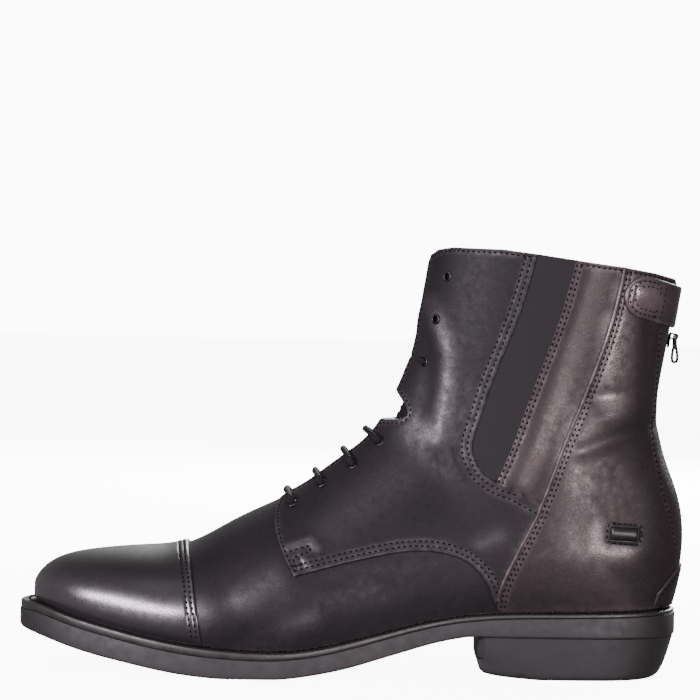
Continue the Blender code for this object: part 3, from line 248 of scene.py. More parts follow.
# Mesh of the leather: steps, lines of points beside edges and stitch rows, and how clear other points keep of them
EDGE_STEP, GRID_STEP = 1.0, 1.15
EDGE_LINES, ROW_LINES = (0.3, 0.75), (-0.75, 0.0, 0.75)
GRID_CLEAR, LINE_CLEAR, HOLE_CLEAR, ROW_CLEAR = 1.1, 0.2, 0.25, 0.8
OWN_EDGE, ON_EDGE = 0.86, 0.05
SECTION_TRIES, ANGLE_TRIES, HEIGHT_TRIES = 48, 80, 180

# Wear and painted highlight: their reach from an edge, the painted highlight's strength on rows and beads, the wear's
# on undersides, and what a rubbed place gains
EDGE_WEAR_AND_HIGHLIGHT, CAP_RIM_WEAR_AND_HIGHLIGHT = 0.9, 1.2
ROW_HIGHLIGHT, BEAD_HIGHLIGHT, UNDER_WEAR, FOLDED_DULL = 0.6, 0.9, 0.15, 0.9
RUBBED_SMOOTHER, RUBBED_SHINE = 0.16, 0.42

# Eyelets by radius and height over the leather; from one ring on the throat is near black, as painted shade
EYELET_PROFILE = ((1.6, -1.45), (2.45, 0.0), (2.4, 0.22), (2.1, 0.5), (1.75, 0.5), (1.5, 0.25), (1.42, -0.5),
                  (1.42, -1.3))
EYELET_PAINTED_SHADE = 5

# A lace bar from its eyelet to the crown, as share of the way and height, and the lace's end, as steps and height
LACE_OVER = LEATHER_TOP + LACE + 0.1
LACE_BAR = ((0.0, -1.2), (0.0, 1.0), (0.02, LACE_OVER + 0.1), (0.14, LACE_OVER + 0.75), (0.34, LACE_OVER + 0.25),
            (0.56, LACE_OVER - 0.1), (0.78, LACE_OVER - 0.5), (1.0, LACE_OVER - 0.9))
LACE_THIN, LACE_BULGE, BULGE_PLACE, BULGE_WIDTH, LACE_END_SHARE = 0.9, 0.42, 4.4, 2.0, 0.92
LACE_LEAN = 0.08            # a bar runs this many sections forward on its way to the crown
LACE_END = ((0.0, 0.0, -1.2), (0.0, 0.0, 0.6), (0.0, 0.01, LEATHER_TOP + 0.9), (0.03, 0.055, LEATHER_TOP + 0.7))

# Rows up the sole: distance out from the margin, and height over the welt's seam, the underside or the feather edge
OUTSOLE_SIDE = ((-0.8, 0.0), (-0.15, -0.05), (0.2, -0.25), (0.3, -0.6))
OUTSOLE_FOOT = ((0.3, 2.4), (0.3, 1.0), (0.2, 0.4), (-0.05, 0.1), (-0.6, 0.0))
WELT_LOW = ((-0.7, 0.1), (-0.1, 0.18), (0.05, 0.5))
WELT_HIGH = ((0.0, -1.25), (-0.12, -0.75), (-0.55, -0.4), (-1.2, -0.3))
INSOLE_ROWS = ((0.0, 0.0), (0.0, INSOLE - 0.7), (0.3, INSOLE - 0.2), (1.0, INSOLE))
OUTSOLE_INSIDE, OUTSOLE_TOP = 1.5 - WELT_INSIDE, -0.7
WELT_ROW_SHARE, WELT_ROW_OUT, WELT_ROW_HIGH = 0.42, 0.5, -0.2
SOLE_STEPS = 190
# Profile of the heel: height over the ground or share of the seat, share of the taper, inset, rear inset
HEEL_PROFILE = (
    ("seat", 1.013, 0.0, 0.3, 0.0), ("seat", 1.002, 0.0, 0.0, 0.0), ("seat", 0.75, 0.22, 0.0, 0.0),
    ("seat", 0.5, 0.48, 0.0, 0.0), ("ground", 4.6, 0.78, 0.0, 0.0), ("ground", 2.9, 0.9, 0.0, 0.25),
    ("ground", 1.6, 0.96, 0.1, 0.8), ("ground", 0.75, 1.0, 0.4, 1.7), ("ground", 0.2, 1.0, 0.9, 3.0),
    ("ground", 0.0, 1.0, 1.6, 4.4),
)
HEEL_INSET = 0.4            # the heel stands this far in from the welt's margin
HEEL_REAR, HEEL_REAR_RUN = 110.0, 36.0

# Slider by height and share of its plan, and the pull's edges by share of its half width and of its length
SLIDER_ROWS = ((0.0, 0.62), (0.25, 0.92), (0.55, 1.0), (0.85, 0.92), (1.0, 0.7))
SLIDER_LONG, SLIDER_WIDE, SLIDER_NARROW, SLIDER_OUT = 3.8, 3.7, 0.72, 2.0
LUG_ASIDE, LUG_REACH, LUG_FOOT, LUG = 2.6, 1.1, 2.2, 0.42
BARREL_HALF, BARREL = 1.9, 0.88
PULL_OUTER = ((0.42, 0.2 / PULL_LENGTH), (0.46, 0.3), (0.8, 0.5), (1.0, 0.68), (1.0, 0.88), (0.8, 0.97), (0.4, 1.0))
PULL_EYE, PULL_END = 1.0 - PULL_FRAME / PULL_HALF, 1.0 - PULL_FRAME / PULL_LENGTH
PULL_INNER = ((0.05, 0.46), (0.2, 0.47), (0.42, 0.53), (PULL_EYE, 0.68), (PULL_EYE, 0.84), (0.4, PULL_END),
              (0.2, PULL_END))
# Round the pull's wall: which edge, how far it is tucked in and how far it lies from the middle
PULL_SECTION = ((PULL_OUTER, 0.22, 0.5), (PULL_OUTER, 0.0, 0.28), (PULL_OUTER, 0.0, -0.28),
                (PULL_OUTER, 0.22, -0.5), (PULL_INNER, -0.18, -0.5), (PULL_INNER, 0.0, -0.28),
                (PULL_INNER, 0.0, 0.28), (PULL_INNER, -0.18, 0.5))
# Zip: height of the tape, and the teeth's reach from the middle, height, pitch, radius and step across it
ZIP_TAPE, TOOTH_REACH, TOOTH_HEIGHT = 0.95, (0.0, 0.9, 1.75), (1.35, 1.4, 1.1)
TOOTH_PITCH, TOOTH, TOOTH_CROSS = 1.15, 0.42, 0.35

# Tongue: sections it spans, where its rounded top starts, and a ripple where the boot bends
TONGUE_SPAN, TONGUE_TIP, TONGUE_ROUND = (7.2, 21.6), 20.6, 1.3
RIPPLE_HIGH, RIPPLE_START, RIPPLE_RATE, RIPPLE_MIDDLE, RIPPLE_WIDTH = 0.3, 11.6, 8.4, 12.9, 0.9

# Toe cap: where its lower edge starts round the section, and how soon it reaches its full thickness
CAP_FOOT, CAP_EASE = 0.03, 0.12

# Collar tab: roll, where its rows start, and its pad and painted highlight as strength, depth, length and height
TAB_ROLL, TAB_ROWS_FROM, TAB_CROSS_INSET = 1.0, 9.0, 1.2
TAB_PAD, TAB_PAINTED_HIGHLIGHT = (0.7, 14.5, 4.6, 4.2), (0.8, 13.0, 7.0, 7.0)

# Heel patch: reach, thickness and roll, and where its row of stitches starts
PATCH_REACH, PATCH_THICK, PATCH_ROLL = 8.9, 0.9, 0.6
PATCH_ROW_DEPTH, PATCH_ROW_LOW = 0.4, 34.0

# Spur keeper: frame, and the bar inside it
KEEPER_TILT, KEEPER_SQUARE = math.radians(-4.0), 0.42
KEEPER_TOP, KEEPER_BASE, KEEPER_ROW, KEEPER_HOLE = 2.4, 1.2, 1.0, 1.9
BAR_ENDS, BAR_SIDES, BAR_FOOT, BAR_HIGH, BAR_ROUND = 2.5, 2.2, 1.0, 2.5, 1.6

# Small steps of the reckoning
TINY, NUDGE, HALVINGS, FINE_STEPS = 1e-6, 0.02, 40, 400
FIRST_ROW, FIRST_COLUMN, LAST_COLUMN = np.s_[0], np.s_[:, 0], np.s_[:, -1]

# Camera fitted to the photo, in metres
CAMERA, CAMERA_AIM, CAMERA_ROLL, LENS = (-0.0021, -1.7, 0.19), (-0.0021, 0.0, 0.14375), 1.09, 194.3
ROOM, BACKDROP, FLOOR_GLOW = 0.3, 11.0, 9.0

# Soft boxes: aim, bearing to the right of the camera and rise in degrees, distance, width, height, watts, colour
LIGHTS = {
    "left soft box": ((-0.05, 0.0, 0.06), -42.0, 16.0, 1.6, 1.15, 0.38, 72.0, (1.0, 0.98, 1.0)),
    "right soft box": ((0.1, 0.0, 0.1), 26.0, 3.0, 1.7, 1.2, 0.36, 46.0, (1.0, 0.96, 0.96)),
    "top soft box": ((0.0, 0.0, 0.1), -10.0, 70.0, 1.5, 1.2, 0.6, 5.0, (1.0, 1.0, 1.0)),
    "rear soft box": ((0.0, 0.0, 0.1), 162.0, 24.0, 1.7, 1.2, 0.8, 75.0, (1.0, 1.0, 1.0)),
}


def natural_spline(knots, values):
    """A natural cubic spline as a function of the knots."""
    x = np.asarray(knots, float)
    y = np.asarray(values, float)
    count = len(x)
    step = np.diff(x)
    system = np.eye(count)
    slopes = np.zeros(count)
    for k in range(1, count - 1):
        system[k, k - 1:k + 2] = step[k - 1], 2 * (step[k - 1] + step[k]), step[k]
        slopes[k] = 6 * ((y[k + 1] - y[k]) / step[k] - (y[k] - y[k - 1]) / step[k - 1])
    bend = np.linalg.solve(system, slopes)

    def at(place):
        place = np.asarray(place, float)
        k = np.clip(np.searchsorted(x, place, side="right") - 1, 0, count - 2)
        h = step[k]
        before = (x[k + 1] - place) / h
        after = (place - x[k]) / h
        cubic = ((before ** 3 - before) * bend[k] + (after ** 3 - after) * bend[k + 1]) * h * h / 6
        return before * y[k] + after * y[k + 1] + cubic

    return at


def broken_spline(values, corner):
    """A spline over the row numbers with a corner at one row."""
    rows = np.arange(len(values))
    first = natural_spline(rows[:corner + 1], values[:corner + 1])
    second = natural_spline(rows[corner:], values[corner:])

    def at(u):
        before, after = first(np.minimum(u, corner)), second(np.maximum(u, corner))
        return np.where(np.asarray(u) <= corner, before, after)

    return at


def station_splines():
    """One spline for each column of the stations. The base turns a corner at the heel."""
    columns = dict(zip(STATION_COLUMNS, np.array(STATIONS, float).T))
    splines = {}
    for name, values in columns.items():
        if name.startswith(("base_x", "base_z", "foot")):
            splines[name] = broken_spline(values, HEEL_STATION)
        else:
            splines[name] = natural_spline(np.arange(len(values)), values)
    return splines


SPLINES = station_splines()


def column(name, u):
    return SPLINES[name](u)


def sided(name, u, side):
    """A left or right width at u, never below zero."""
    return np.maximum(column(f"{name}_{'left' if side == LEFT else 'right'}", u), 0.0)


def signed_power(value, power):
    return np.sign(value) * np.abs(value) ** power


def angle_out(u, half, side, power):
    """Angle from the middle plane at which a section is half wide, on its base or its crown curve."""
    ratio = np.clip(half / np.maximum(sided("belly", u, side), TINY), 0.0, 1.0)
    return np.arcsin(ratio ** (column(power, u) / 2))


def start_angle(u, side):
    """Angle on the section's superellipse where it leaves the base."""
    return angle_out(u, sided("foot", u, side), side, "base_power")


def base_reach(u, side):
    """How far below its middle a section's superellipse leaves the base, as a share of its half height."""
    return np.cos(start_angle(u, side)) ** (2 / column("base_power", u))


def base_line(u):
    """A section's base in side view, x then z, and the way from there to its crown."""
    base_x, base_z = column("base_x", u), column("base_z", u)
    return base_x, base_z, column("crown_x", u) - base_x, column("crown_z", u) - base_z


def plain_surface(u, angle, side):
    """Points of the last: u picks the section, angle runs from the base to pi at the crown."""
    u, angle = np.broadcast_arrays(np.asarray(u, float), np.asarray(angle, float))
    power = np.where(angle < math.pi / 2, column("base_power", u), column("crown_power", u))
    first = base_reach(u, side)
    along = (first - signed_power(np.cos(angle), 2 / power)) / (first + 1)
    out = sided("belly", u, side) * np.abs(np.sin(angle)) ** (2 / power)
    base_x, base_z, run_x, run_z = base_line(u)
    return np.stack([base_x + along * run_x, column("axis_y", u) + side * out, base_z + along * run_z], axis=-1)


def surface(u, angle, side):
    """Points of the last, with the sharp turn from sole to back at the heel blended over the sections near it."""
    u, angle = np.broadcast_arrays(np.asarray(u, float), np.asarray(angle, float))
    points = plain_surface(u, angle, side)
    near = np.clip(1.0 - np.abs(u - HEEL_STATION) / HEEL_BLEND, 0.0, 1.0)
    rise = np.clip((angle - start_angle(u, side)) / HEEL_RISE, 0.0, 1.0)
    reach = near * rise * rise * (3.0 - 2.0 * rise)
    turned = reach > 0.0
    if turned.any():
        mixed = np.zeros(points[turned].shape)
        for shift in range(-HEEL_TAPS, HEEL_TAPS + 1):
            weight = (HEEL_TAPS + 1 - abs(shift)) / (HEEL_TAPS + 1) ** 2
            mixed += weight * plain_surface(u[turned] + reach[turned] * shift / HEEL_TAPS, angle[turned], side)
        points[turned] = mixed
    return points


def unit(vectors):
    """Vectors made one long."""
    return vectors / np.linalg.norm(vectors, axis=-1, keepdims=True)


def normals(u, angle, side, seam=None):
    """Outward unit normals. On a seam, where the two halves meet, they lie in the boot's middle plane."""
    u, angle = np.broadcast_arrays(np.asarray(u, float), np.asarray(angle, float))
    u = np.clip(u, NUDGE, LAST_STATION - NUDGE)
    angle = np.clip(angle, start_angle(u, side) + NUDGE, math.pi - NUDGE)
    along_u = surface(u + NUDGE / 2, angle, side) - surface(u - NUDGE / 2, angle, side)
    across = surface(u, angle + NUDGE / 2, side) - surface(u, angle - NUDGE / 2, side)
    out = np.cross(along_u, across) * -side
    if seam is not None:
        out[..., 1] = np.where(seam, 0.0, out[..., 1])
    return unit(out)


def angle_along(u, along, side):
    """Angle of the point of a section that is a share of the way from base to crown in side view."""
    first = base_reach(u, side)
    cosine = first - along * (first + 1)
    power = np.where(cosine >= 0, column("base_power", u), column("crown_power", u))
    return np.arccos(np.clip(signed_power(cosine, power / 2), -1.0, 1.0))


def angle_at(u, fraction, side, end=math.pi):
    """Angle a fraction of the way round a section, from its base to an end angle."""
    first = start_angle(u, side)
    return first + fraction * (end - first)


def bisected(shape, low, test):
    """Section numbers from low upwards as far as a test holds."""
    low, high = np.full(shape, float(low)), np.full(shape, float(LAST_STATION))
    for _ in range(HALVINGS):
        middle = (low + high) / 2
        holds = test(middle)
        low, high = np.where(holds, middle, low), np.where(holds, high, middle)
    return (low + high) / 2


def locate(x, z, side):
    """Section number and angle of the point of the last that shows at x, z in side view."""
    x, z = np.broadcast_arrays(np.asarray(x, float), np.asarray(z, float))

    def before(u):
        base_x, base_z, run_x, run_z = base_line(u)
        return run_x * (z - base_z) - run_z * (x - base_x) < 0

    u = bisected(x.shape, 0, before)
    base_x, base_z, run_x, run_z = base_line(u)
    along = ((x - base_x) * run_x + (z - base_z) * run_z) / (run_x ** 2 + run_z ** 2)
    return u, angle_along(u, np.clip(along, 0.0, 1.0), side)


def distance_to(points, path):
    """Distance of points to a line through path, in the plane or in space."""
    spots = points.reshape(-1, points.shape[-1])
    nearest = np.full(len(spots), np.inf)
    for a, b in zip(path[:-1], path[1:]):
        run = b - a
        share = np.clip((spots - a) @ run / max(run @ run, TINY ** 2), 0.0, 1.0)
        nearest = np.minimum(nearest, ((spots - a - share[:, None] * run) ** 2).sum(axis=1))
    return np.sqrt(nearest).reshape(points.shape[:-1])


def nearness(points, path, width):
    """One on a side-view line, falling to nothing over a width."""
    return np.exp(-(distance_to(points[..., [0, 2]], np.array(path)) / width) ** 2)


def relief(points):
    """How far the creases lift the leather at points of the last."""
    return sum(lift * nearness(points, path, width) for lift, width, path in CREASES.values())


def shine_and_painted_highlight(points):
    """How much the leather is rubbed shiny at points of the boot; the same share lightens its colour as a painted
    highlight.
    """
    return np.max([strength * nearness(points, path, width) for strength, width, path in SHINE_AND_PAINTED_HIGHLIGHT.values()], axis=0)


def skin(u, angle, side, offset, seam=None):
    """Points over the last at an offset, creases included."""
    base = surface(u, angle, side)
    lift = np.asarray(offset) + relief(base)
    return base + normals(u, angle, side, seam) * np.broadcast_to(lift, base.shape[:-1])[..., None]


def lengths(points):
    """Distance along a line of points, zero at its start."""
    return np.concatenate([[0.0], np.cumsum(np.linalg.norm(np.diff(points, axis=0), axis=1))])


def placed(values, far, places):
    """Rows of values, one for each distance in far, read off at places between."""
    return np.stack([np.interp(places, far, line) for line in values.T], axis=-1)


def smooth(points, count):
    """A spline through a few points, in side view or in space, as count points evenly spread."""
    points = np.asarray(points, float)
    far = lengths(points)
    places = np.linspace(0.0, far[-1], count)
    return np.stack([natural_spline(far, values)(places) for values in points.T], axis=-1)


def cornered(points, count=12):
    """A few side-view points as a finely divided line that keeps its corners."""
    points = np.asarray(points, float)
    return np.concatenate([np.linspace(a, b, count) for a, b in zip(points[:-1], points[1:])])


def runs(*spans):
    """Even steps over spans that follow one another, each a start, an end and a count."""
    return np.concatenate([np.linspace(*span)[min(k, 1):] for k, span in enumerate(spans)])


def turns(count):
    """Angles evenly spread round a circle."""
    return np.linspace(0.0, 2 * math.pi, count, endpoint=False)


def read(table, at):
    """The second column of a table of points, read off at values of the first."""
    return np.interp(at, *np.array(table).T)


def marked(shape, *places):
    """A mask over a grid, true at the rows and columns given."""
    mask = np.zeros(shape, bool)
    for place in places:
        mask[place] = True
    return mask


def rolled(rim, top, roll=EDGE_ROLL):
    """Height of a piece with a rolled edge, by the distance in from its rim."""
    return top - roll + np.sqrt(roll ** 2 - np.clip(roll - rim, 0.0, roll) ** 2)


def groove(far):
    """How deep the leather is pulled in at a distance from a row of stitches."""
    return GROOVE * np.exp(-(far / GROOVE_WIDTH) ** 2)


def throat_angle(u, side, extra=0.0):
    """Angle of the throat's edge at a section, its corners softened. Ahead of the throat it is the crown."""
    u = np.asarray(u, float)
    gap = sum(read(THROAT, u + shift) for shift in THROAT_SOFT) / len(THROAT_SOFT) + extra
    return math.pi - angle_out(u, np.where(u <= THROAT_START, 0.0, gap), side, "crown_power")


def back_angle(u, half, side):
    """Angle near the back seam where the surface is half away from the middle."""
    return angle_out(u, half, side, "base_power")


def section_at_back(z):
    """Section whose base on the back seam is at height z."""
    every = np.linspace(HEEL_STATION, LAST_STATION, FINE_STEPS)
    return np.interp(z, column("base_z", every), every)


def collar_section(fraction, side, drop=0.0):
    """Section at which a column of the wall reaches the collar."""
    def below(u):
        point = surface(u, angle_at(u, fraction, side, throat_angle(u, side)), side)
        return point[..., 2] < read(COLLAR, point[..., 0]) - drop

    return bisected(fraction.shape, SHAFT_START, below)


def feather(x):
    """Height of the feather edge along the boot."""
    u = np.linspace(0.0, HEEL_STATION, FINE_STEPS)
    return np.interp(x, column("base_x", u), column("base_z", u))


# Materials
COOL, WARM, NEUTRAL = (1.0, 0.92, 1.0), (1.0, 0.86, 0.89), (1.0, 0.93, 0.97)
MIX_COLOURS, MIX_RESULT = (6, 7), 2     # sockets of a Mix node that are for colours


def brighter(colour, times):
    return tuple(c * times for c in colour)


class Finish:
    """A Principled material and short ways to wire its nodes."""

    def __init__(self, name, colour, roughness, **values):
        self.material = bpy.data.materials.new(name)
        self.material.use_nodes = True
        self.tree = self.material.node_tree
        self.shader = self.tree.nodes["Principled BSDF"]
        self.coords = self.tree.nodes.new("ShaderNodeTexCoord")
        self.bumps = None
        for socket, value in dict(Base_Color=(*colour, 1.0), Roughness=roughness, **values).items():
            self.shader.inputs[socket.replace("_", " ")].default_value = value

    def feed(self, socket, value):
        """Links a socket to another one, or sets its value."""
        if isinstance(value, bpy.types.NodeSocket):
            self.tree.links.new(value, socket)
        else:
            socket.default_value = value

    def node(self, kind, settings=(), **sockets):
        made = self.tree.nodes.new("ShaderNode" + kind)
        for name, value in dict(settings).items():
            setattr(made, name, value)
        for name, value in sockets.items():
            self.feed(made.inputs[name.replace("_", " ")], value)
        return made

    def noise(self, scale, detail=3.0):
        made = self.node("TexNoise", Vector=self.coords.outputs["Object"], Scale=scale, Detail=detail)
        return made.outputs["Fac"]

    def wave(self, scale, place=None, settings=()):
        """Bands over the piece's own map."""
        place = self.coords.outputs["UV"] if place is None else place
        return self.node("TexWave", settings, Vector=place, Scale=scale).outputs["Fac"]

    def attribute(self, title):
        return self.node("Attribute", {"attribute_name": title}).outputs["Fac"]

    def span(self, value, low, high, first=0.3, last=0.7):
        """A texture value stretched to the range from low to high."""
        made = self.node("MapRange", Value=value, From_Min=first, From_Max=last, To_Min=low, To_Max=high)
        return made.outputs["Result"]

    def blend(self, share, first, second):
        """A colour between two, by a share."""
        made = self.node("Mix", {"data_type": "RGBA"}, Factor=share)
        for number, colour in zip(MIX_COLOURS, (first, second)):
            self.feed(made.inputs[number], (*colour, 1.0) if isinstance(colour, tuple) else colour)
        return made.outputs[MIX_RESULT]

    def math(self, operation, *values):
        """One arithmetic node on sockets and numbers."""
        made = self.node("Math", {"operation": operation})
        for socket, value in zip(made.inputs, values):
            self.feed(socket, value)
        return made.outputs[0]

    def bump(self, height, depth):
        """Adds a layer of bump of a real depth in millimetres."""
        made = self.node("Bump", Height=height, Distance=depth * MM, Strength=1.0)
        if self.bumps:
            self.feed(made.inputs["Normal"], self.bumps)
        self.bumps = made.outputs["Normal"]
        self.link(self.bumps, "Normal")

    def link(self, value, socket):
        self.tree.links.new(value, self.shader.inputs[socket])


def leather(name, dark, light, roughness, tint, shine=0.25, grain=1.0, coat=0.0):
    """Calf leather: cloudy colour, fine grain, edges lightened by wear and painted highlight, and a shine with a
    painted highlight where it is rubbed.
    """
    finish = Finish(name, dark, roughness, Specular_IOR_Level=shine, Specular_Tint=(*tint, 1.0), Coat_Weight=coat,
                    Coat_Roughness=0.22)
    worn_and_highlit = finish.math("MULTIPLY", finish.attribute("wear_and_highlight"), finish.span(finish.noise(260.0), 0.1, 0.75))
    shine_and_highlight = finish.math("MULTIPLY", finish.attribute("shine_and_highlight"), finish.span(finish.noise(1100.0), 0.6, 1.15))
    cloud = finish.math("MULTIPLY", finish.span(finish.noise(38.0, 5.0), 0.25, 1.0),
                        finish.span(finish.noise(1250.0, 2.0), 0.1, 1.3))
    tone = finish.blend(cloud, dark, light)
    # painted highlight: rubbed places are lightened towards a brighter copy of the light tone
    tone = finish.blend(shine_and_highlight, tone, brighter(light, 1.7))
    # edges, stitch rows and beads are lightened further: partly wear, partly painted highlight
    finish.link(finish.blend(worn_and_highlit, tone, brighter(light, 2.8)), "Base Color")
    matte = finish.span(finish.noise(300.0, 8.0), roughness - 0.1 * grain, roughness + 0.1 * grain)
    finish.link(finish.math("SUBTRACT", matte, finish.math("MULTIPLY", shine_and_highlight, RUBBED_SMOOTHER)), "Roughness")
    glow = finish.math("MULTIPLY", finish.math("MAXIMUM", shine_and_highlight, worn_and_highlit), RUBBED_SHINE)
    finish.link(finish.math("ADD", glow, shine), "Specular IOR Level")
    pores = finish.node("TexVoronoi", {"feature": "SMOOTH_F1"}, Vector=finish.coords.outputs["Object"], Scale=1500.0)
    for height, depth in ((pores.outputs["Distance"], 0.03), (finish.noise(950.0), 0.035), (finish.noise(260.0), 0.05)):
        finish.bump(height, depth * grain)
    return finish.material


def elastic(name):
    """Ribbed elastic: the ribs run along the gore."""
    finish = Finish(name, (0.012, 0.011, 0.012), 0.85, Specular_IOR_Level=0.2, Sheen_Weight=0.05)
    ribs = finish.wave(285.0, settings={"bands_direction": "X"})
    finish.link(finish.blend(ribs, (0.0067, 0.0048, 0.0066), (0.0085, 0.0063, 0.0084)), "Base Color")
    finish.bump(ribs, 0.07)
    finish.bump(finish.wave(520.0, settings={"bands_direction": "Y"}), 0.03)
    return finish.material


def braid(name):
    """Waxed round lace: two sets of slanting strands."""
    finish = Finish(name, (0.006, 0.0050, 0.0058), 0.8, Specular_IOR_Level=0.05, Specular_Tint=(*COOL, 1.0))
    slanted = [finish.node("Mapping", Vector=finish.coords.outputs["UV"], Rotation=(0.0, 0.0, turn))
               for turn in (0.9, -0.9)]
    strands = finish.math("MAXIMUM", *(finish.wave(270.0, place.outputs["Vector"]) for place in slanted))
    finish.link(finish.blend(strands, (0.0040, 0.0031, 0.0038), (0.0098, 0.0079, 0.0094)), "Base Color")
    finish.bump(strands, 0.08)
    return finish.material


def rubber(name, dark, light, roughness):
    """Moulded rubber with a faint cloudiness and fine speckle."""
    finish = Finish(name, dark, roughness, Specular_IOR_Level=0.32, Specular_Tint=(*NEUTRAL, 1.0))
    finish.link(finish.blend(finish.span(finish.noise(60.0, 5.0), 0.0, 1.0), dark, light), "Base Color")
    finish.link(finish.span(finish.noise(240.0, 4.0), roughness - 0.08, roughness + 0.1), "Roughness")
    finish.bump(finish.noise(900.0, 4.0), 0.03)
    finish.bump(finish.noise(45.0, 2.0), 0.12)
    return finish.material


def metal(name, colour, roughness):
    """Lacquered metal with rubbed patches."""
    finish = Finish(name, colour, roughness, Metallic=1.0)
    finish.link(finish.span(finish.noise(700.0, 4.0), roughness - 0.1, roughness + 0.15), "Roughness")
    patches = finish.span(finish.noise(320.0), 0.0, 1.0)
    finish.link(finish.blend(patches, colour, brighter(colour, 1.7)), "Base Color")
    return finish.material


def textile(name, dark, light, scale):
    """Thread and tape: a fine twist."""
    finish = Finish(name, dark, 0.85, Specular_IOR_Level=0.06)
    twist = finish.noise(scale, 2.0)
    finish.link(finish.blend(finish.span(twist, 0.0, 1.0), dark, light), "Base Color")
    finish.bump(twist, 0.05)
    return finish.material


FINISHES = {
    "leather": leather("boot_leather", (0.0062, 0.0048, 0.0060), (0.0106, 0.0083, 0.0103), 0.50, COOL, 0.10),
    "back leather": leather("back_leather", (0.0080, 0.0056, 0.0064), (0.0152, 0.0108, 0.0121), 0.47, WARM, 0.14),
    # the collar tab: a lighter copy of the back leather, as a painted highlight
    "tab leather with painted highlight": leather("tab_leather", (0.0130, 0.0091, 0.0104), (0.0235, 0.0167, 0.0187), 0.47, WARM, 0.14),
    "cap leather": leather("cap_leather", (0.0052, 0.0041, 0.0050), (0.0088, 0.0070, 0.0084), 0.42, COOL, 0.22,
                           grain=0.35, coat=0.12),
    "dark leather": leather("dark_leather", (0.0030, 0.0024, 0.0027), (0.0055, 0.0045, 0.0050), 0.55, COOL, 0.14),
    "lining": leather("lining_leather", (0.016, 0.0135, 0.0125), (0.030, 0.025, 0.023), 0.62, COOL),
    "insole": leather("insole_leather", (0.035, 0.028, 0.023), (0.06, 0.048, 0.04), 0.6, WARM),
    "gore": elastic("gore_elastic"),
    "rubber": rubber("sole_rubber", (0.0061, 0.0050, 0.0061), (0.0091, 0.0076, 0.0090), 0.6),
    "welt": rubber("welt_rubber", (0.0085, 0.0072, 0.0080), (0.0130, 0.0111, 0.0123), 0.42),
    "gloss": rubber("keeper_roll", (0.003, 0.0027, 0.0029), (0.006, 0.0052, 0.0056), 0.4),
    "lace": braid("lace_braid"),
    "metal": metal("eyelet_metal", (0.024, 0.0190, 0.0230), 0.40),
    "steel": metal("zip_steel", (0.035, 0.032, 0.033), 0.38),
    "thread": textile("thread", (0.0018, 0.0016, 0.0017), (0.005, 0.0044, 0.0046), 2200.0),
    "tape": textile("zip_tape", (0.006, 0.0056, 0.006), (0.014, 0.013, 0.0138), 1500.0),
}


def piece(name, points, faces, kind, nodes=(), body="boot", second=None, in_second=(), uv=None, wear_and_highlight=None,
          sharp=38.0):
    """A finished mesh from millimetre points. Faces listed in_second take the second finish."""
    points = np.asarray(points, float)
    mesh = bpy.data.meshes.new(name)
    mesh.from_pydata((points * MM).tolist(), [], [list(map(int, face)) for face in faces])
    for finish in [kind] + ([second] if second else []):
        mesh.materials.append(FINISHES[finish])
    if second:
        mesh.polygons.foreach_set("material_index", np.isin(np.arange(len(faces)), in_second).astype(np.int32))
    # per point: edge wear with painted highlight, and the shine of rubbed places with their painted highlight
    shares = {"wear_and_highlight": wear_and_highlight, "shine_and_highlight": shine_and_painted_highlight(points) if "leather" in kind else None}
    for title, values in shares.items():
        if values is not None:
            mesh.attributes.new(title, "FLOAT", "POINT").data.foreach_set("value", np.asarray(values, np.float32))
    if uv is not None:
        corners = np.zeros(len(mesh.loops), np.int32)
        mesh.loops.foreach_get("vertex_index", corners)
        mesh.uv_layers.new(name="UVMap").data.foreach_set("uv", np.asarray(uv, np.float32)[corners].ravel())
    work = bmesh.new()
    work.from_mesh(mesh)
    bmesh.ops.recalc_face_normals(work, faces=work.faces)
    if work.calc_volume(signed=True) < 0:
        bmesh.ops.reverse_faces(work, faces=work.faces)
    work.to_mesh(mesh)
    work.free()
    mesh.shade_smooth()
    mesh.set_sharp_from_angle(angle=math.radians(sharp))
    thing = bpy.data.objects.new(name, mesh)
    bpy.context.scene.collection.objects.link(thing)
    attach(thing, body)
    if nodes:
        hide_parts(*nodes)


def tidy_face(corners):
    """A face without repeated corners, or None when it has collapsed."""
    kept = [c for k, c in enumerate(corners) if c != corners[k - 1]]
    return kept if len(set(kept)) == len(kept) and len(kept) > 2 else None


def tidy_faces(faces):
    return [face for face in map(tidy_face, faces) if face]


def band(a, b, count):
    """Faces between two rings of count points that start at a and b."""
    return [[a + k, a + (k + 1) % count, b + (k + 1) % count, b + k] for k in range(count)]


def barrel_faces(rings, count, start=0):
    """Faces of a solid made of rings of count points: the bands between them, then its first and last end."""
    faces = []
    for ring in range(rings - 1):
        faces += band(start + ring * count, start + (ring + 1) * count, count)
    last = start + (rings - 1) * count
    return faces + [[start + k for k in range(count)][::-1], [last + k for k in range(count)]]


def closed_sheet(outer, inner, faces):
    """Points and faces of a wall: the faces, their inner copies and the rims between."""
    count = len(outer)
    used = set()
    for face in faces:
        used.update(zip(face, list(face[1:]) + [face[0]]))
    every = [list(face) for face in faces]
    every += [[c + count for c in reversed(face)] for face in faces]
    every += [[b, a, a + count, b + count] for a, b in used if (b, a) not in used]
    return np.concatenate([outer, inner]), every


def compact(points, faces):
    """The points that faces use, the faces renumbered, and which points these were."""
    used = np.unique(np.concatenate([np.asarray(face) for face in faces]))
    number = np.full(len(points), -1)
    number[used] = np.arange(len(used))
    return points[used], [number[face] for face in faces], used


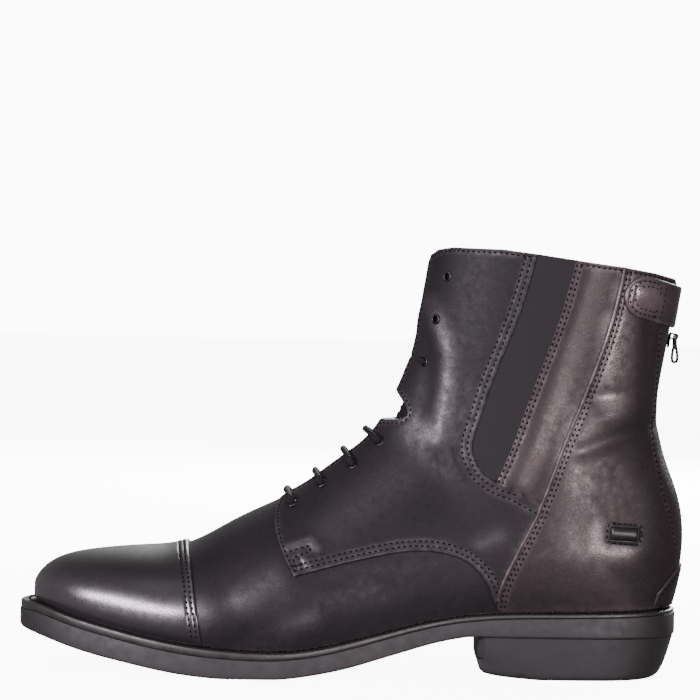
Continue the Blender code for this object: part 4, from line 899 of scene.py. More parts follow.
def grid_faces(shape, shared=None):
    """Faces of one or two grids of points. Where shared is true, the second grid uses the first one's point."""
    number = np.arange(np.prod(shape)).reshape(shape)
    if shared is not None:
        number[1] = np.where(shared, number[0], number[1])
    faces = []
    for half, n in enumerate(number):
        corners = np.stack([n[:-1, :-1], n[1:, :-1], n[1:, 1:], n[:-1, 1:]], axis=-1).reshape(-1, 4)
        faces += tidy_faces((corners[:, ::-1] if half else corners).tolist())
    return faces


def shell(name, outer, inner, kind, nodes, shared=None, lining=None, wear_and_highlight=None):
    """A wall from one or two grids of outer and inner points, the inside in a lining of its own."""
    outer, inner = np.asarray(outer), np.asarray(inner)
    faces = grid_faces(outer.shape[:3], shared)
    points, every, used = compact(*closed_sheet(outer.reshape(-1, 3), inner.reshape(-1, 3), faces))
    inside = np.arange(len(faces), 2 * len(faces)) if lining else ()
    if wear_and_highlight is not None:
        wear_and_highlight = np.concatenate([np.ravel(wear_and_highlight), np.zeros(np.size(wear_and_highlight))])[used]
    piece(name, points, every, kind, nodes, second=lining, in_second=inside, wear_and_highlight=wear_and_highlight)


# Stitches, collected while the leather is cut and made in one mesh for each kind of thread
STITCHES = {"upper_stitching": [], "welt_stitching": []}


def sew(points, outward, group="upper_stitching"):
    """Stitches along a line of points in space, with the outward direction at each point."""
    far = lengths(points)
    places = np.arange(STITCH_PITCH / 2, far[-1], STITCH_PITCH)
    at, up = placed(points, far, places), placed(outward, far, places)
    ahead = placed(points, far, places + LOOK_AHEAD) - at
    good = np.linalg.norm(ahead, axis=1) > LEAST_AHEAD
    STITCHES[group].append((at[good], ahead[good], up[good]))


def sew_on(u, angle, side, top, seam=None):
    """Stitches in their groove along a line of sections and angles, on leather with its face at top."""
    sew(skin(u, angle, side, top - STITCH_SINK, seam), normals(u, angle, side, seam))


def make_stitches():
    """Every stitch is a small sunk sausage of thread."""
    template = np.array([(along * STITCH, wide * THREAD * math.cos(t), (wide * math.sin(t) + high) * THREAD)
                         for along, wide, high in STITCH_RINGS for t in turns(STITCH_SIDES)])
    one = barrel_faces(len(STITCH_RINGS), STITCH_SIDES)
    for name, rows in STITCHES.items():
        at, ahead, up = (np.concatenate(values) for values in zip(*rows))
        ahead = unit(ahead)
        across = unit(np.cross(up, ahead))
        axes = np.stack([ahead, across, np.cross(ahead, across)], axis=1)
        points = (at[:, None] + template @ axes).reshape(-1, 3)
        faces = [[c + start for c in face] for start in range(0, len(points), len(template)) for face in one]
        piece(name, points, faces, "thread", sharp=80.0)


# Leather cut on the last
def flat(line, side, lean=0.0):
    """A line of sections and angles seen flat, from the side or from a direction that leans to front or back."""
    points = surface(*np.asarray(line, float).T, side)
    across = points[:, 0] * math.cos(lean) - side * points[:, 1] * math.sin(lean)
    return np.column_stack([across, points[:, 2]])


def enclosed(points, outline):
    """Which flat points lie inside a closed outline, by counting crossings."""
    x, y = points.T
    result = np.zeros(len(points), bool)
    for (ax, ay), (bx, by) in zip(outline, np.roll(outline, -1, axis=0)):
        rise = by - ay if by != ay else TINY ** 2
        result ^= ((ay > y) != (by > y)) & (x < ax + (y - ay) * (bx - ax) / rise)
    return result


def within(line, outline, side, lean=0.0):
    """Which points of a line of sections and angles lie inside an outline, seen flat."""
    return enclosed(flat(line, side, lean), flat(outline, side, lean))


def spread(outline, side, lean):
    """Sections and angles of points spread evenly over the piece inside an outline."""
    (first_u, first_angle), (last_u, last_angle) = outline.min(axis=0), outline.max(axis=0)
    u = np.linspace(first_u, last_u, int((last_u - first_u) * SECTION_TRIES) + 2)[:, None]
    angle = np.linspace(first_angle, last_angle, int((last_angle - first_angle) * ANGLE_TRIES) + 2)[None]
    even = angle_along(u, np.linspace(0.0, 1.0, HEIGHT_TRIES)[None], side)
    every = [np.broadcast_arrays(u, angle), np.broadcast_arrays(u, even)]
    line = np.concatenate([np.column_stack([a.ravel(), b.ravel()]) for a, b in every])
    line = line[(line[:, 1] >= first_angle) & (line[:, 1] <= last_angle)]
    place = flat(line, side, lean) / GRID_STEP
    cell = np.round(place)
    order = np.argsort(np.abs(place - cell).sum(axis=1), kind="stable")
    _, chosen = np.unique(cell[order], axis=0, return_index=True)
    line = line[order[chosen]]
    return line[within(line, outline, side, lean)]


def traced(line, side):
    """Side-view points as sections and angles."""
    return np.column_stack(locate(*np.asarray(line, float).T, side))


def resampled(line, side, step=EDGE_STEP):
    """A line of sections and angles with even steps on the last."""
    line = np.asarray(line, float)
    far = lengths(surface(*line.T, side))
    return placed(line, far, np.linspace(0.0, far[-1], max(3, int(far[-1] / step) + 1)))


def beside(line, side, distance):
    """A line of sections and angles moved along the leather, to its left as seen from outside."""
    here = surface(*line.T, side)
    left = np.cross(normals(*line.T, side), np.gradient(here, axis=0)) * -side
    left /= np.maximum(np.linalg.norm(left, axis=1, keepdims=True), 1e-9)
    return traced((here + left * distance)[:, [0, 2]], side)


def inward(line, side, outline, distance):
    """A border line moved into the piece that it bounds."""
    moved = beside(line, side, distance)
    return moved if within(moved, outline, side).mean() >= 0.5 else beside(line, side, -distance)


def edge_row(number, inset, edges, outline, border, side):
    """A stitch row that follows one edge of a panel and keeps clear of the others."""
    line = inward(edges[number], side, outline, inset)
    here = surface(*line.T, side)
    own = distance_to(here, surface(*edges[number].T, side)) > OWN_EDGE * inset
    return line[own & (distance_to(here, border) > ROW_CLEAR) & within(line, outline, side)]


def panel_spots(edges, outline, border, sewn, holes, side, lean):
    """Points inside a panel: close beside its edges and stitch rows, and spread evenly over the rest."""
    space = lambda line: surface(*line.T, side)
    close = [inward(edge, side, outline, distance) for edge in edges for distance in EDGE_LINES]
    close = np.concatenate(close + [beside(row, side, distance) for row in sewn for distance in ROW_LINES])
    close = close[within(close, outline, side, lean)]
    close = close[distance_to(space(close), border) > LINE_CLEAR]
    lattice = spread(outline, side, lean)
    for line in [space(row) for row in sewn] + [border]:
        lattice = lattice[distance_to(space(lattice), line) > GRID_CLEAR]
    spots = np.concatenate([close, lattice])
    for hole in holes:
        centre = space(hole).mean(axis=0)
        reach = np.linalg.norm(space(hole) - centre, axis=1).max()
        spots = spots[np.linalg.norm(space(spots) - centre, axis=1) > reach + HOLE_CLEAR]
    return spots


def cut(outline, holes, spots, side, lean):
    """All points of a panel, and triangles over them inside the outline and outside the holes."""
    given = np.concatenate([outline, *holes, spots])
    ties, start = [], 0
    for loop in [outline, *holes]:
        ties += [(start + k, start + (k + 1) % len(loop)) for k in range(len(loop))]
        start += len(loop)
    charted = flat(given, side, lean)
    found = delaunay_2d_cdt([Vector(p) for p in charted], ties, [], 0, TINY)
    corners, faces = np.array([tuple(p) for p in found[0]]), np.array(found[2])
    source = np.array([origin[0] if origin else int(np.argmin(((charted - corner) ** 2).sum(axis=1)))
                       for origin, corner in zip(found[3], corners)])
    middles = corners[faces].mean(axis=1)
    keep = enclosed(middles, flat(outline, side, lean))
    for hole in holes:
        keep &= ~enclosed(middles, flat(hole, side, lean))
    return given, tidy_faces(source[faces[keep]].tolist())


def panel(name, nodes, kind, side, edges, top, rows=(), holes=(), folded=(), rib=None, base=UNDERSIDE, lean=0.0):
    """A piece of leather cut along its edges, with rolled borders and a groove under each stitch row.
    Rows are lines, or (edge number, distance in). Edges listed as folded turn over the upper's rim."""
    edges = [resampled(edge, side) for edge in edges]
    outline = np.concatenate(edges)
    space = lambda line: surface(*line.T, side)
    border = space(np.concatenate([outline, outline[:1]]))
    sewn = [edge_row(*row, edges, outline, border, side) if isinstance(row, tuple) else row for row in rows]
    spots = panel_spots(edges, outline, border, sewn, holes, side, lean)
    given, faces = cut(outline, holes, spots, side, lean)
    u, angle = given.T
    here = space(given)
    rim = distance_to(here, border)
    height = rolled(rim, top, min(EDGE_ROLL, ROLL_SHARE * (top - base)))
    # edges are lightened: wear and painted highlight
    under, worn_and_highlit = np.full(len(given), base), np.exp(-rim / EDGE_WEAR_AND_HIGHLIGHT)
    for number in folded:
        far = distance_to(here, space(edges[number]))
        under[far < ON_EDGE] = -FOLD
        worn_and_highlit *= 1.0 - FOLDED_DULL * np.exp(-far / EDGE_WEAR_AND_HIGHLIGHT)
    # each stitch row pulls a groove, and the leather beside it is lightened as a painted highlight
    for row in sewn:
        far = distance_to(here, space(row))
        height -= groove(far)
        worn_and_highlit = np.maximum(worn_and_highlit, ROW_HIGHLIGHT * np.exp(-far ** 2))
    wall = closed_sheet(skin(u, angle, side, height), skin(u, angle, side, under), faces)
    points, faces, used = compact(*wall)
    worn_and_highlit = np.concatenate([worn_and_highlit, np.full(len(given), UNDER_WEAR)])[used]
    uv = None
    if rib:
        uv = points[:, [0, 2]] @ np.array([rib, (-rib[1], rib[0])]).T * MM
    piece(name, points, faces, kind, nodes, wear_and_highlight=worn_and_highlit, uv=uv)
    for row in sewn:
        row = row[within(row, outline, side, lean)]
        if len(row) > 3:
            sew_on(*row.T, side, top)


def collar_run(span, side):
    """The collar's rim over a span of x, as sections and angles."""
    x = np.linspace(*span, max(3, int(abs(span[1] - span[0])) + 1))
    return traced(np.column_stack([x, read(COLLAR, x) + RIM_OVER]), side)


def throat_run(first, side):
    """The facing's edge from a section up to the collar."""
    last = float(collar_section(np.array([1.0]), side, 1.0)[0])
    rows = np.linspace(first, last, 180)
    return np.column_stack([rows, throat_angle(rows, side, -RIM_OVER)])


def make_upper():
    """The lasted upper: vamp leather outside and lining inside."""
    rows = runs((0.0, 2.0, 14), (2.0, THROAT_START, 46), (THROAT_START, 15.0, 90), (15.0, SHAFT_START, 30))
    fraction = np.linspace(0.0, 1.0, 37)
    outer, inner = [], []
    for side in (LEFT, RIGHT):
        shaft = SHAFT_START + np.linspace(0.0, 1.0, 23)[1:, None] * (collar_section(fraction, side) - SHAFT_START)
        u = np.concatenate([np.repeat(rows[:, None], len(fraction), axis=1), shaft])
        angle = angle_at(u, fraction, side, throat_angle(u, side))
        seam = marked(u.shape, FIRST_ROW)
        seam[LAST_COLUMN] |= u[LAST_COLUMN] <= THROAT_START
        seam[FIRST_COLUMN] |= u[FIRST_COLUMN] >= HEEL_STATION
        outer.append(skin(u, angle, side, 0.0, seam))
        inner.append(skin(u, angle, side, -WALL, seam))
    shell("upper_leather", outer, inner, "leather", ["upper"], seam, lining="lining")


def make_toe_cap():
    """The toe cap, with a rolled rear edge and two rows of stitches ahead of it."""
    seam_line = smooth(CAP_SEAM, 60)
    fraction = np.linspace(0.0, 1.0, 41)
    fraction[0] = CAP_FOOT
    ease = np.clip(fraction / CAP_EASE, 0.0, 1.0) ** 0.5
    share = runs((0.0, 0.3, 16), (0.3, 0.9, 40), (0.9, 1.0, 44))
    at_top = fraction >= 1.0
    outer, inner, wear_and_highlight = [], [], []
    for side in (LEFT, RIGHT):
        line = traced(seam_line, side)
        line = line[np.argsort(line[:, 1])]
        end = np.full(fraction.shape, 6.0)
        for _ in range(8):
            end = np.interp(angle_at(end, fraction, side), line[:, 1], line[:, 0])
        u = share[:, None] * end
        angle = angle_at(u, fraction, side)
        seam = marked(u.shape, FIRST_ROW, LAST_COLUMN)
        rim = np.linalg.norm(surface(u, angle, side) - surface(end, angle[-1], side), axis=-1)
        height = rolled(rim, LEATHER_TOP)
        for distance in CAP_ROWS:
            height = height - groove(rim - distance)
            row = np.array([np.interp(-distance, -rim[:, k], u[:, k]) for k in range(len(fraction))])
            place = row, angle_at(row, fraction, side), side
            sew(skin(*place, (LEATHER_TOP - STITCH_SINK) * ease, at_top)[2:], normals(*place, at_top)[2:])
        outer.append(skin(u, angle, side, height * ease, seam))
        inner.append(skin(u, angle, side, np.full(u.shape, UNDERSIDE) * ease, seam))
        # a lighter line along the cap's rim: wear and painted highlight
        wear_and_highlight.append(np.exp(-np.abs(rim - CAP_ROWS[0] / 2) / CAP_RIM_WEAR_AND_HIGHLIGHT))
    shell("toe_cap_leather", outer, inner, "cap leather", ["toe_cap"], seam, wear_and_highlight=wear_and_highlight)


def make_tongue():
    """A soft tongue under the throat, thinner towards its edges, with a rounded top."""
    rows, share = np.linspace(*TONGUE_SPAN, 110), np.linspace(1.0, 0.0, 19)
    outer, inner = [], []
    for side in (LEFT, RIGHT):
        u = np.repeat(rows[:, None], len(share), axis=1)
        half = np.interp(u, *TONGUE_HALF)
        half = half * np.sqrt(np.clip(1.0 - np.clip((u - TONGUE_TIP) / TONGUE_ROUND, 0.0, 1.0) ** 2, 0.15, 1.0))
        angle = math.pi - angle_out(u, half * share, side, "crown_power")
        seam = marked(u.shape, LAST_COLUMN)
        high = -(WALL + TONGUE_EASE + np.interp(u, *TONGUE_SINK))
        fade = np.exp(-((u - RIPPLE_MIDDLE) / RIPPLE_WIDTH) ** 2)
        high = high + RIPPLE_HIGH * np.sin((u - RIPPLE_START) * RIPPLE_RATE) * fade
        thick = TONGUE * np.clip(np.sqrt(1.0 - share ** 6), 0.25, 1.0)
        outer.append(skin(u, angle, side, high - (TONGUE - thick) / 2, seam))
        inner.append(skin(u, angle, side, high - (TONGUE + thick) / 2, seam))
    shell("tongue_leather", outer, inner, "dark leather", ["tongue"], seam, lining="lining")


def make_panels(side, label):
    """Quarter, gore, side strip and back panel of one side, with their stitch rows."""
    line = lambda table, count: traced(smooth(table, count), side)
    gore_rear = line(GORE_REAR, 90)
    seam_side, vamp_side = smooth(BACK_SEAM, 170), smooth(VAMP_SEAM, 110)
    seam, seam_z = traced(seam_side, side), seam_side[:, 1]
    vamp = traced(vamp_side[vamp_side[:, 1] > VAMP_LOW], side)
    tail = seam[(seam_z > TAIL_LOW) & (seam_z < STRIP_CORNER[1])]

    turn = turns(16)
    circle = EYELET_HOLE * np.column_stack([np.cos(turn), np.sin(turn)])
    holes = [traced(circle + (x, z), side) for x, z, _ in EYELETS]
    edges = [line(QUARTER_FRONT, 40), throat_run(FACING_START, side), collar_run(QUARTER_COLLAR, side),
             line(GORE_FRONT + STRIP_FOOT[1:], 130), tail[::-1], vamp[::-1]]
    tack = [resampled(traced(cornered(table), side), side, CLOSE_STEP) for table in BAR_TACK]
    panel(f"quarter_{label}_leather", [f"quarter_{label}"], "leather", side, edges, LEATHER_TOP,
          [*QUARTER_ROWS, *tack], holes, (1, 2), lean=FRONT_LEAN)

    edges = [beside(resampled(line(GORE_FRONT, 100)[::-1], side), side, GORE_UNDER)[2:], collar_run(GORE_COLLAR, side),
             beside(resampled(gore_rear, side), side, -GORE_UNDER)[2:][::-1]]
    panel(f"gore_{label}_elastic", [f"gore_{label}"], "gore", side, edges, GORE_TOP, folded=(1,), rib=RIB_DIRECTION,
          base=GORE_UNDERSIDE)

    strip_foot = beside(resampled(line(STRIP_FOOT, 24), side), side, -STRIP_UNDER)
    edges = [gore_rear, collar_run(STRIP_COLLAR, side), seam[seam_z >= STRIP_CORNER[1]][::-1], strip_foot[::-1]]
    panel(f"side_strip_{label}_leather", [f"side_strip_{label}"], "back leather", side, edges, STRIP_TOP, STRIP_ROWS,
          folded=(1,))

    def down_the_back(top, foot, half, count):
        rows = np.linspace(float(section_at_back(top)), float(section_at_back(foot)), count)
        return np.column_stack([rows, back_angle(rows, half, side)])

    x = np.concatenate([HEEL_TURN, np.linspace(*HEM_SPAN)])
    edges = [seam, collar_run(BACK_COLLAR, side), down_the_back(ZIP_TOP, ZIP_FOOT, ZIP_HALF - ZIP_UNDER, 120),
             down_the_back(ZIP_FOOT - 0.6, HEEL_EDGE_LOW, 0.1, 20),
             traced(np.column_stack([x, feather(x) + HEM_OVER]), side)]
    placket = resampled(line(PLACKET, 90), side)
    panel(f"back_panel_{label}_leather", [f"back_panel_{label}"], "back leather", side, edges, BACK_TOP,
          [*BACK_ROWS, placket], folded=(1,), lean=BACK_LEAN)
    tube(f"back_seam_{label}_bead", [skin(*seam[4:].T, side, BEAD_MIDDLE)], BEAD, "back leather")


def tube(name, paths, radius, kind, nodes=(), sides=10, body="boot"):
    """Round cords along paths of points, with a map round and along them."""
    points, faces, uv = [], [], []
    turn = turns(sides)
    for path in paths:
        path = np.asarray(path, float)
        run, far = unit(np.gradient(path, axis=0)), lengths(path)
        girth = radius(far) if callable(radius) else np.full(len(path), radius)
        faces += barrel_faces(len(path), sides, len(points))
        up = np.cross(run[0], (0.31, 0.9, 0.3))
        for place, along, wide, gone in zip(path, run, girth, far):
            up = unit(up - along * (up @ along))
            out = np.cross(along, up)
            points += list(place + wide * (np.outer(np.cos(turn), up) + np.outer(np.sin(turn), out)))
            uv += [(t * wide * MM, gone * MM) for t in turn]
    # leather cords are lightened all along: painted highlight
    wear_and_highlight = np.full(len(points), BEAD_HIGHLIGHT) if "leather" in kind else None
    piece(name, points, faces, kind, nodes, body, uv=uv, wear_and_highlight=wear_and_highlight, sharp=70.0)


def make_laces():
    """Each bar comes up out of its eyelet, bends over the ring and crosses the throat to the other side."""
    paths, ends = [], []
    share, height = np.array(LACE_BAR).T
    step_u, step_angle, end_height = np.array(LACE_END).T
    for number, (x, z, laced) in enumerate(EYELETS):
        halves = []
        for side in (LEFT, RIGHT):
            u, angle = (float(value) for value in locate(x, z, side))
            if laced:
                reach = angle + (math.pi - angle) * share
                halves.append(skin(u - LACE_LEAN * share, reach, side, height, share >= 1.0))
            elif number == LACE_END_EYELET:
                ends.append(smooth(skin(u + step_u, angle + step_angle, side, end_height), 24))
        if laced:
            paths.append(smooth(np.concatenate([halves[0], halves[1][:-1][::-1]]), 90))

    def girth(far):
        from_end = np.minimum(far, far[-1] - far)
        return LACE * (LACE_THIN + LACE_BULGE * np.exp(-((from_end - BULGE_PLACE) / BULGE_WIDTH) ** 2))

    tube("lace_bars_cord", paths, girth, "lace", [f"lace_bar_{n}" for n in range(1, 5)], sides=16)
    tube("lace_ends_cord", ends, LACE * LACE_END_SHARE, "lace", sides=16)


def make_eyelets():
    """Turned rings with a throat down through the leather, made near black as painted shade."""
    turn = turns(28)
    count, rings = len(turn), len(EYELET_PROFILE)
    points, faces, dark = [], [], []
    for side in (LEFT, RIGHT):
        for x, z, _ in EYELETS:
            u, angle = locate(x, z, side)
            centre, out = skin(u, angle, side, LEATHER_TOP), normals(u, angle, side)
            first = unit(np.cross(out, (0.0, 0.0, 1.0)))
            circle = np.outer(np.cos(turn), first) + np.outer(np.sin(turn), np.cross(out, first))
            ring_faces = barrel_faces(rings, count, len(points))
            # the throat and its closed end take the near-black thread finish: painted shade
            dark += range(len(faces) + EYELET_PAINTED_SHADE * count, len(faces) + (rings - 1) * count)
            dark.append(len(faces) + len(ring_faces) - 1)
            faces += ring_faces
            for radius, height in EYELET_PROFILE:
                points += list(centre + out * height + radius * circle)
    nodes = [f"eyelet_{label}_{n}" for _, label in SIDES for n in range(1, len(EYELETS) + 1)]
    piece("eyelet_rings", points, faces, "metal", nodes, second="thread", in_second=dark, sharp=60.0)


# The sole, built as outlines stacked on one another
def sole_edge(u, side):
    """The feather edge of one side in plan."""
    return np.stack([column("base_x", u), column("axis_y", u) + side * sided("foot", u, side)], axis=-1)


def sole_plan(u, out):
    """Left and right lines of the feather edge moved out by a distance, as plan points."""
    lines, step = [], 1e-3
    for side in (LEFT, RIGHT):
        run = sole_edge(np.minimum(u + step, HEEL_STATION), side) - sole_edge(np.maximum(u - step, 0.0), side)
        run[0], run[-1] = (0.0, side), (0.0, -side)
        run = unit(run)
        normal = np.stack([run[:, 1], -run[:, 0]], axis=-1) * -side
        lines.append(sole_edge(u, side) + normal * np.asarray(out).reshape(-1, 1))
    return lines


def margin(x):
    return read(WELT_MARGIN, x)


def underside(x):
    """Height of the sole's underside, with a short ramp up to the seat."""
    end_x, end_z = SOLE_BOTTOM[-1]
    rise = natural_spline(*np.array(SOLE_BOTTOM).T)(np.minimum(x, end_x))
    ramp = end_z + (SEAT - end_z) * np.clip((x - end_x) / 4.0, 0.0, 1.0)
    return np.maximum(np.where(np.asarray(x) > end_x, ramp, rise), 0.0)


def welt_seam(x):
    """Height of the groove between welt and outsole."""
    return feather(x) - read(WELT_THICK, x)


def sole_stations():
    """Sections spread evenly along the outline of the sole."""
    every = np.linspace(0.0, HEEL_STATION, 3000)
    far = lengths(sole_plan(every, np.full(every.shape, 4.0))[0])
    return np.interp(np.linspace(0.0, far[-1], SOLE_STEPS), far, every)


def level(u, out, height):
    """One outline of a stack: plan lines at a distance from the feather edge, at a height that follows x."""
    edge_x = column("base_x", u)
    reach = out(edge_x) if callable(out) else np.full(u.shape, float(out))
    return [np.column_stack([line, height(line[:, 0])]) for line in sole_plan(u, reach)]


def stack(name, levels, kind, nodes, ring=False, open_front=False):
    """A solid from outlines stacked on one another. A ring joins its last level back to its first."""
    points, loops, pairs = [], [], []
    first = 0 if open_front else 1
    for left, right in levels:
        start, count = len(points), len(left)
        points += list(left) + list(right[first:-1][::-1])
        loops.append(list(range(start, len(points))))
        far_side = loops[-1][count:][::-1] + [loops[-1][count - 1]]
        pairs.append((loops[-1][:count], far_side if open_front else [start] + far_side))
    faces = []
    for low, high in list(zip(loops, loops[1:])) + ([(loops[-1], loops[0])] if ring else []):
        faces += [[low[k - 1], low[k], high[k], high[k - 1]] for k in range(len(low))]
    if not ring:
        for (left, right), turn in ((pairs[0], 1), (pairs[-1], -1)):
            faces += tidy_faces([[left[k], left[k + 1], right[k + 1], right[k]][::turn] for k in range(len(left) - 1)])
    piece(name, points, faces, kind, nodes, sharp=32.0)


def make_sole():
    """Outsole, stitched welt and insole on the feather edge, and the heel block below."""
    u = sole_stations()
    plus = lambda line, extra: lambda x: line(x) + extra
    rows = lambda table, line: [level(u, plus(margin, out), plus(line, rise)) for out, rise in table]
    levels = [level(u, OUTSOLE_INSIDE, plus(welt_seam, OUTSOLE_TOP))]
    levels += rows(OUTSOLE_SIDE, welt_seam) + rows(OUTSOLE_FOOT, underside)
    stack("outsole_rubber", levels, "rubber", ["outsole"])
    levels = [level(u, -WELT_INSIDE, plus(welt_seam, GAP)), *rows(WELT_LOW, welt_seam), *rows(WELT_HIGH, feather),
              level(u, -WELT_INSIDE, plus(feather, -GAP))]
    stack("welt_strip", levels, "welt", ["welt"], ring=True)
    row = lambda x: margin(x) * WELT_ROW_SHARE + WELT_ROW_OUT
    for line in level(u, row, plus(feather, WELT_ROW_HIGH)):
        sew(line, np.tile((0.0, 0.0, 1.0), (len(line), 1)), "welt_stitching")
    levels = [level(u, -WELT_INSIDE - GAP, plus(welt_seam, GAP)), level(u, -WELT_INSIDE - GAP, feather)]
    levels += [level(u, -WALL - INSOLE_EASE - inset, plus(feather, rise)) for inset, rise in INSOLE_ROWS]
    stack("insole_leather", levels, "insole", ["insole"])
    make_heel()


def make_heel():
    """The heel block, tapered and rounded at its foot."""
    every = np.linspace(9.0, HEEL_STATION, 900)
    front = float(np.interp(SEAT_X, column("base_x", every), every))
    round_the_back = sole_stations()
    u = np.concatenate([np.linspace(front, 12.8, 40), round_the_back[round_the_back > 12.85]])
    out = margin(column("base_x", u)) - HEEL_INSET
    levels = []
    for kind, height, share, inset, rear_inset in HEEL_PROFILE:
        result = []
        for number, line in enumerate(sole_plan(u, out)):
            rear = np.clip((line[:, 0] - HEEL_REAR) / HEEL_REAR_RUN, 0.0, 1.0) ** 2
            taper = share * (HEEL_SIDE_TAPER + (HEEL_REAR_TAPER - HEEL_SIDE_TAPER) * rear)
            taper = taper + inset + max(rear_inset - inset, 0.0) * rear
            moved = sole_plan(u, out - taper)[number]
            moved[0, 0] = SEAT_X + inset * 0.6
            ground = read(HEEL_BOTTOM, moved[:, 0])
            z = np.full(len(moved), (SEAT - GAP) * height) if kind == "seat" else ground + height
            result.append(np.column_stack([moved, z]))
        levels.append(result)
    stack("heel_rubber", levels, "rubber", ["heel"], open_front=True)


def make_zip():
    """Zip tape up the back seam, its two rows of teeth, and the slider."""
    rows = np.linspace(float(section_at_back(ZIP_FOOT)), float(section_at_back(ZIP_TOP)), 90)
    halves = np.linspace(0.0, ZIP_HALF, 9)
    outer, inner = [], []
    for side in (LEFT, RIGHT):
        u = np.repeat(rows[:, None], len(halves), axis=1)
        angle = back_angle(u, halves, side)
        seam = marked(u.shape, FIRST_COLUMN)
        outer.append(skin(u, angle, side, ZIP_TAPE, seam))
        inner.append(skin(u, angle, side, UNDERSIDE, seam))
    shell("zip_tape_woven", outer, inner, "tape", ["zip"], seam)
    teeth, reach = [], np.array(TOOTH_REACH)
    for k, z in enumerate(np.arange(ZIP_FOOT + 1.0, ZIP_TOP, TOOTH_PITCH)):
        side = LEFT if k % 2 else RIGHT
        u = np.full(reach.shape, float(section_at_back(z)))
        spots = skin(u, back_angle(u, reach, side), side, np.array(TOOTH_HEIGHT), reach <= 0.0)
        spots[0, 1] = -TOOTH_CROSS * side
        teeth.append(spots)
    tube("zip_teeth", teeth, TOOTH, "tape", sides=6)
    make_slider_and_pull()


def make_slider_and_pull():
    """A slider with two lugs, and the pull: a flat neck that widens to a ring."""
    across = np.array([0.0, 1.0, 0.0])
    place = lambda z: surface(section_at_back(z), 0.0, LEFT)
    facing = lambda z: normals(section_at_back(z), 0.0, LEFT, True)
    out = facing(SLIDER_Z)
    along = np.cross(out, across)
    turn = turns(32)
    long, wide = signed_power(np.cos(turn), 0.5) * SLIDER_LONG, signed_power(np.sin(turn), 0.5) * SLIDER_WIDE
    wide = wide * np.interp(long, (-SLIDER_LONG, SLIDER_LONG), (SLIDER_NARROW, 1.0))
    plan = np.outer(long, along) + np.outer(wide, across)
    points = [place(SLIDER_Z) + out * (SLIDER_OUT + height) + scale * plan for height, scale in SLIDER_ROWS]
    faces = barrel_faces(len(SLIDER_ROWS), len(turn))
    piece("zip_slider_body", np.concatenate(points), faces, "steel", ["zip_slider"], sharp=60.0)
    hinge = place(HINGE_Z) + facing(HINGE_Z) * HINGE_OUT
    swing = np.linspace(-0.5, math.pi + 0.5, 18)[:, None]
    arch = np.concatenate([[-along * LUG_REACH - out * LUG_FOOT],
                           out * np.sin(swing) - along * np.cos(swing) * LUG_REACH,
                           [along * LUG_REACH - out * LUG_FOOT]])
    arches = [arch + hinge + across * side * LUG_ASIDE for side in (LEFT, RIGHT)]
    tube("zip_slider_lugs", arches, LUG, "steel", sides=8)

    face = np.array([math.sin(PULL_TWIST), math.cos(PULL_TWIST), 0.0])
    thick = np.array([math.cos(PULL_TWIST), -math.sin(PULL_TWIST), 0.0])
    down = np.array([0.0, 0.0, -1.0])
    loops = []
    for table, tuck, lift in PULL_SECTION:
        edge = np.array(table + tuple((-a, d) for a, d in table[::-1])) * (PULL_HALF, PULL_LENGTH)
        middle = edge.mean(axis=0)
        edge = smooth(np.concatenate([edge, edge[:1]]), 64)[:-1]
        edge = edge + unit(middle - edge) * tuck
        loops.append(hinge + np.outer(edge[:, 0], face) + np.outer(edge[:, 1], down) + thick * lift)
    count = len(loops[0])
    faces = []
    for number in range(len(loops)):
        faces += band(number * count, (number + 1) % len(loops) * count, count)
    piece("zip_pull_ring", np.concatenate(loops), faces, "steel", ["zip_pull_tab"], "zip_pull", sharp=60.0)
    barrel = np.linspace(-BARREL_HALF, BARREL_HALF, 12)[:, None] * across + hinge
    tube("zip_pull_barrel", [barrel], BARREL, "steel", sides=18, body="zip_pull")


def behind(depth, z, side):
    """Section and angle of a point a depth in from the back seam, at a height, as seen from the side."""
    return locate(column("base_x", section_at_back(z)) - depth, z, side)


def strap(name, depths, low, high, lift, thick, across, kind, node, wear_and_highlight):
    """A strap round the back seam: a wall of a thickness over the leather, between two heights."""
    z = low[:, None] + across * (high - low)[:, None]
    outer, inner = [], []
    for side in (LEFT, RIGHT):
        u, angle = behind(depths[:, None], z, side)
        u[0], angle[0] = section_at_back(z)[0], 0.0
        seam = marked(u.shape, FIRST_ROW)
        outer.append(skin(u, angle, side, lift[:, None] + thick, seam))
        inner.append(skin(u, angle, side, np.broadcast_to(lift[:, None], u.shape), seam))
    shell(name, outer, inner, kind, [node], seam, wear_and_highlight=[wear_and_highlight] * 2)


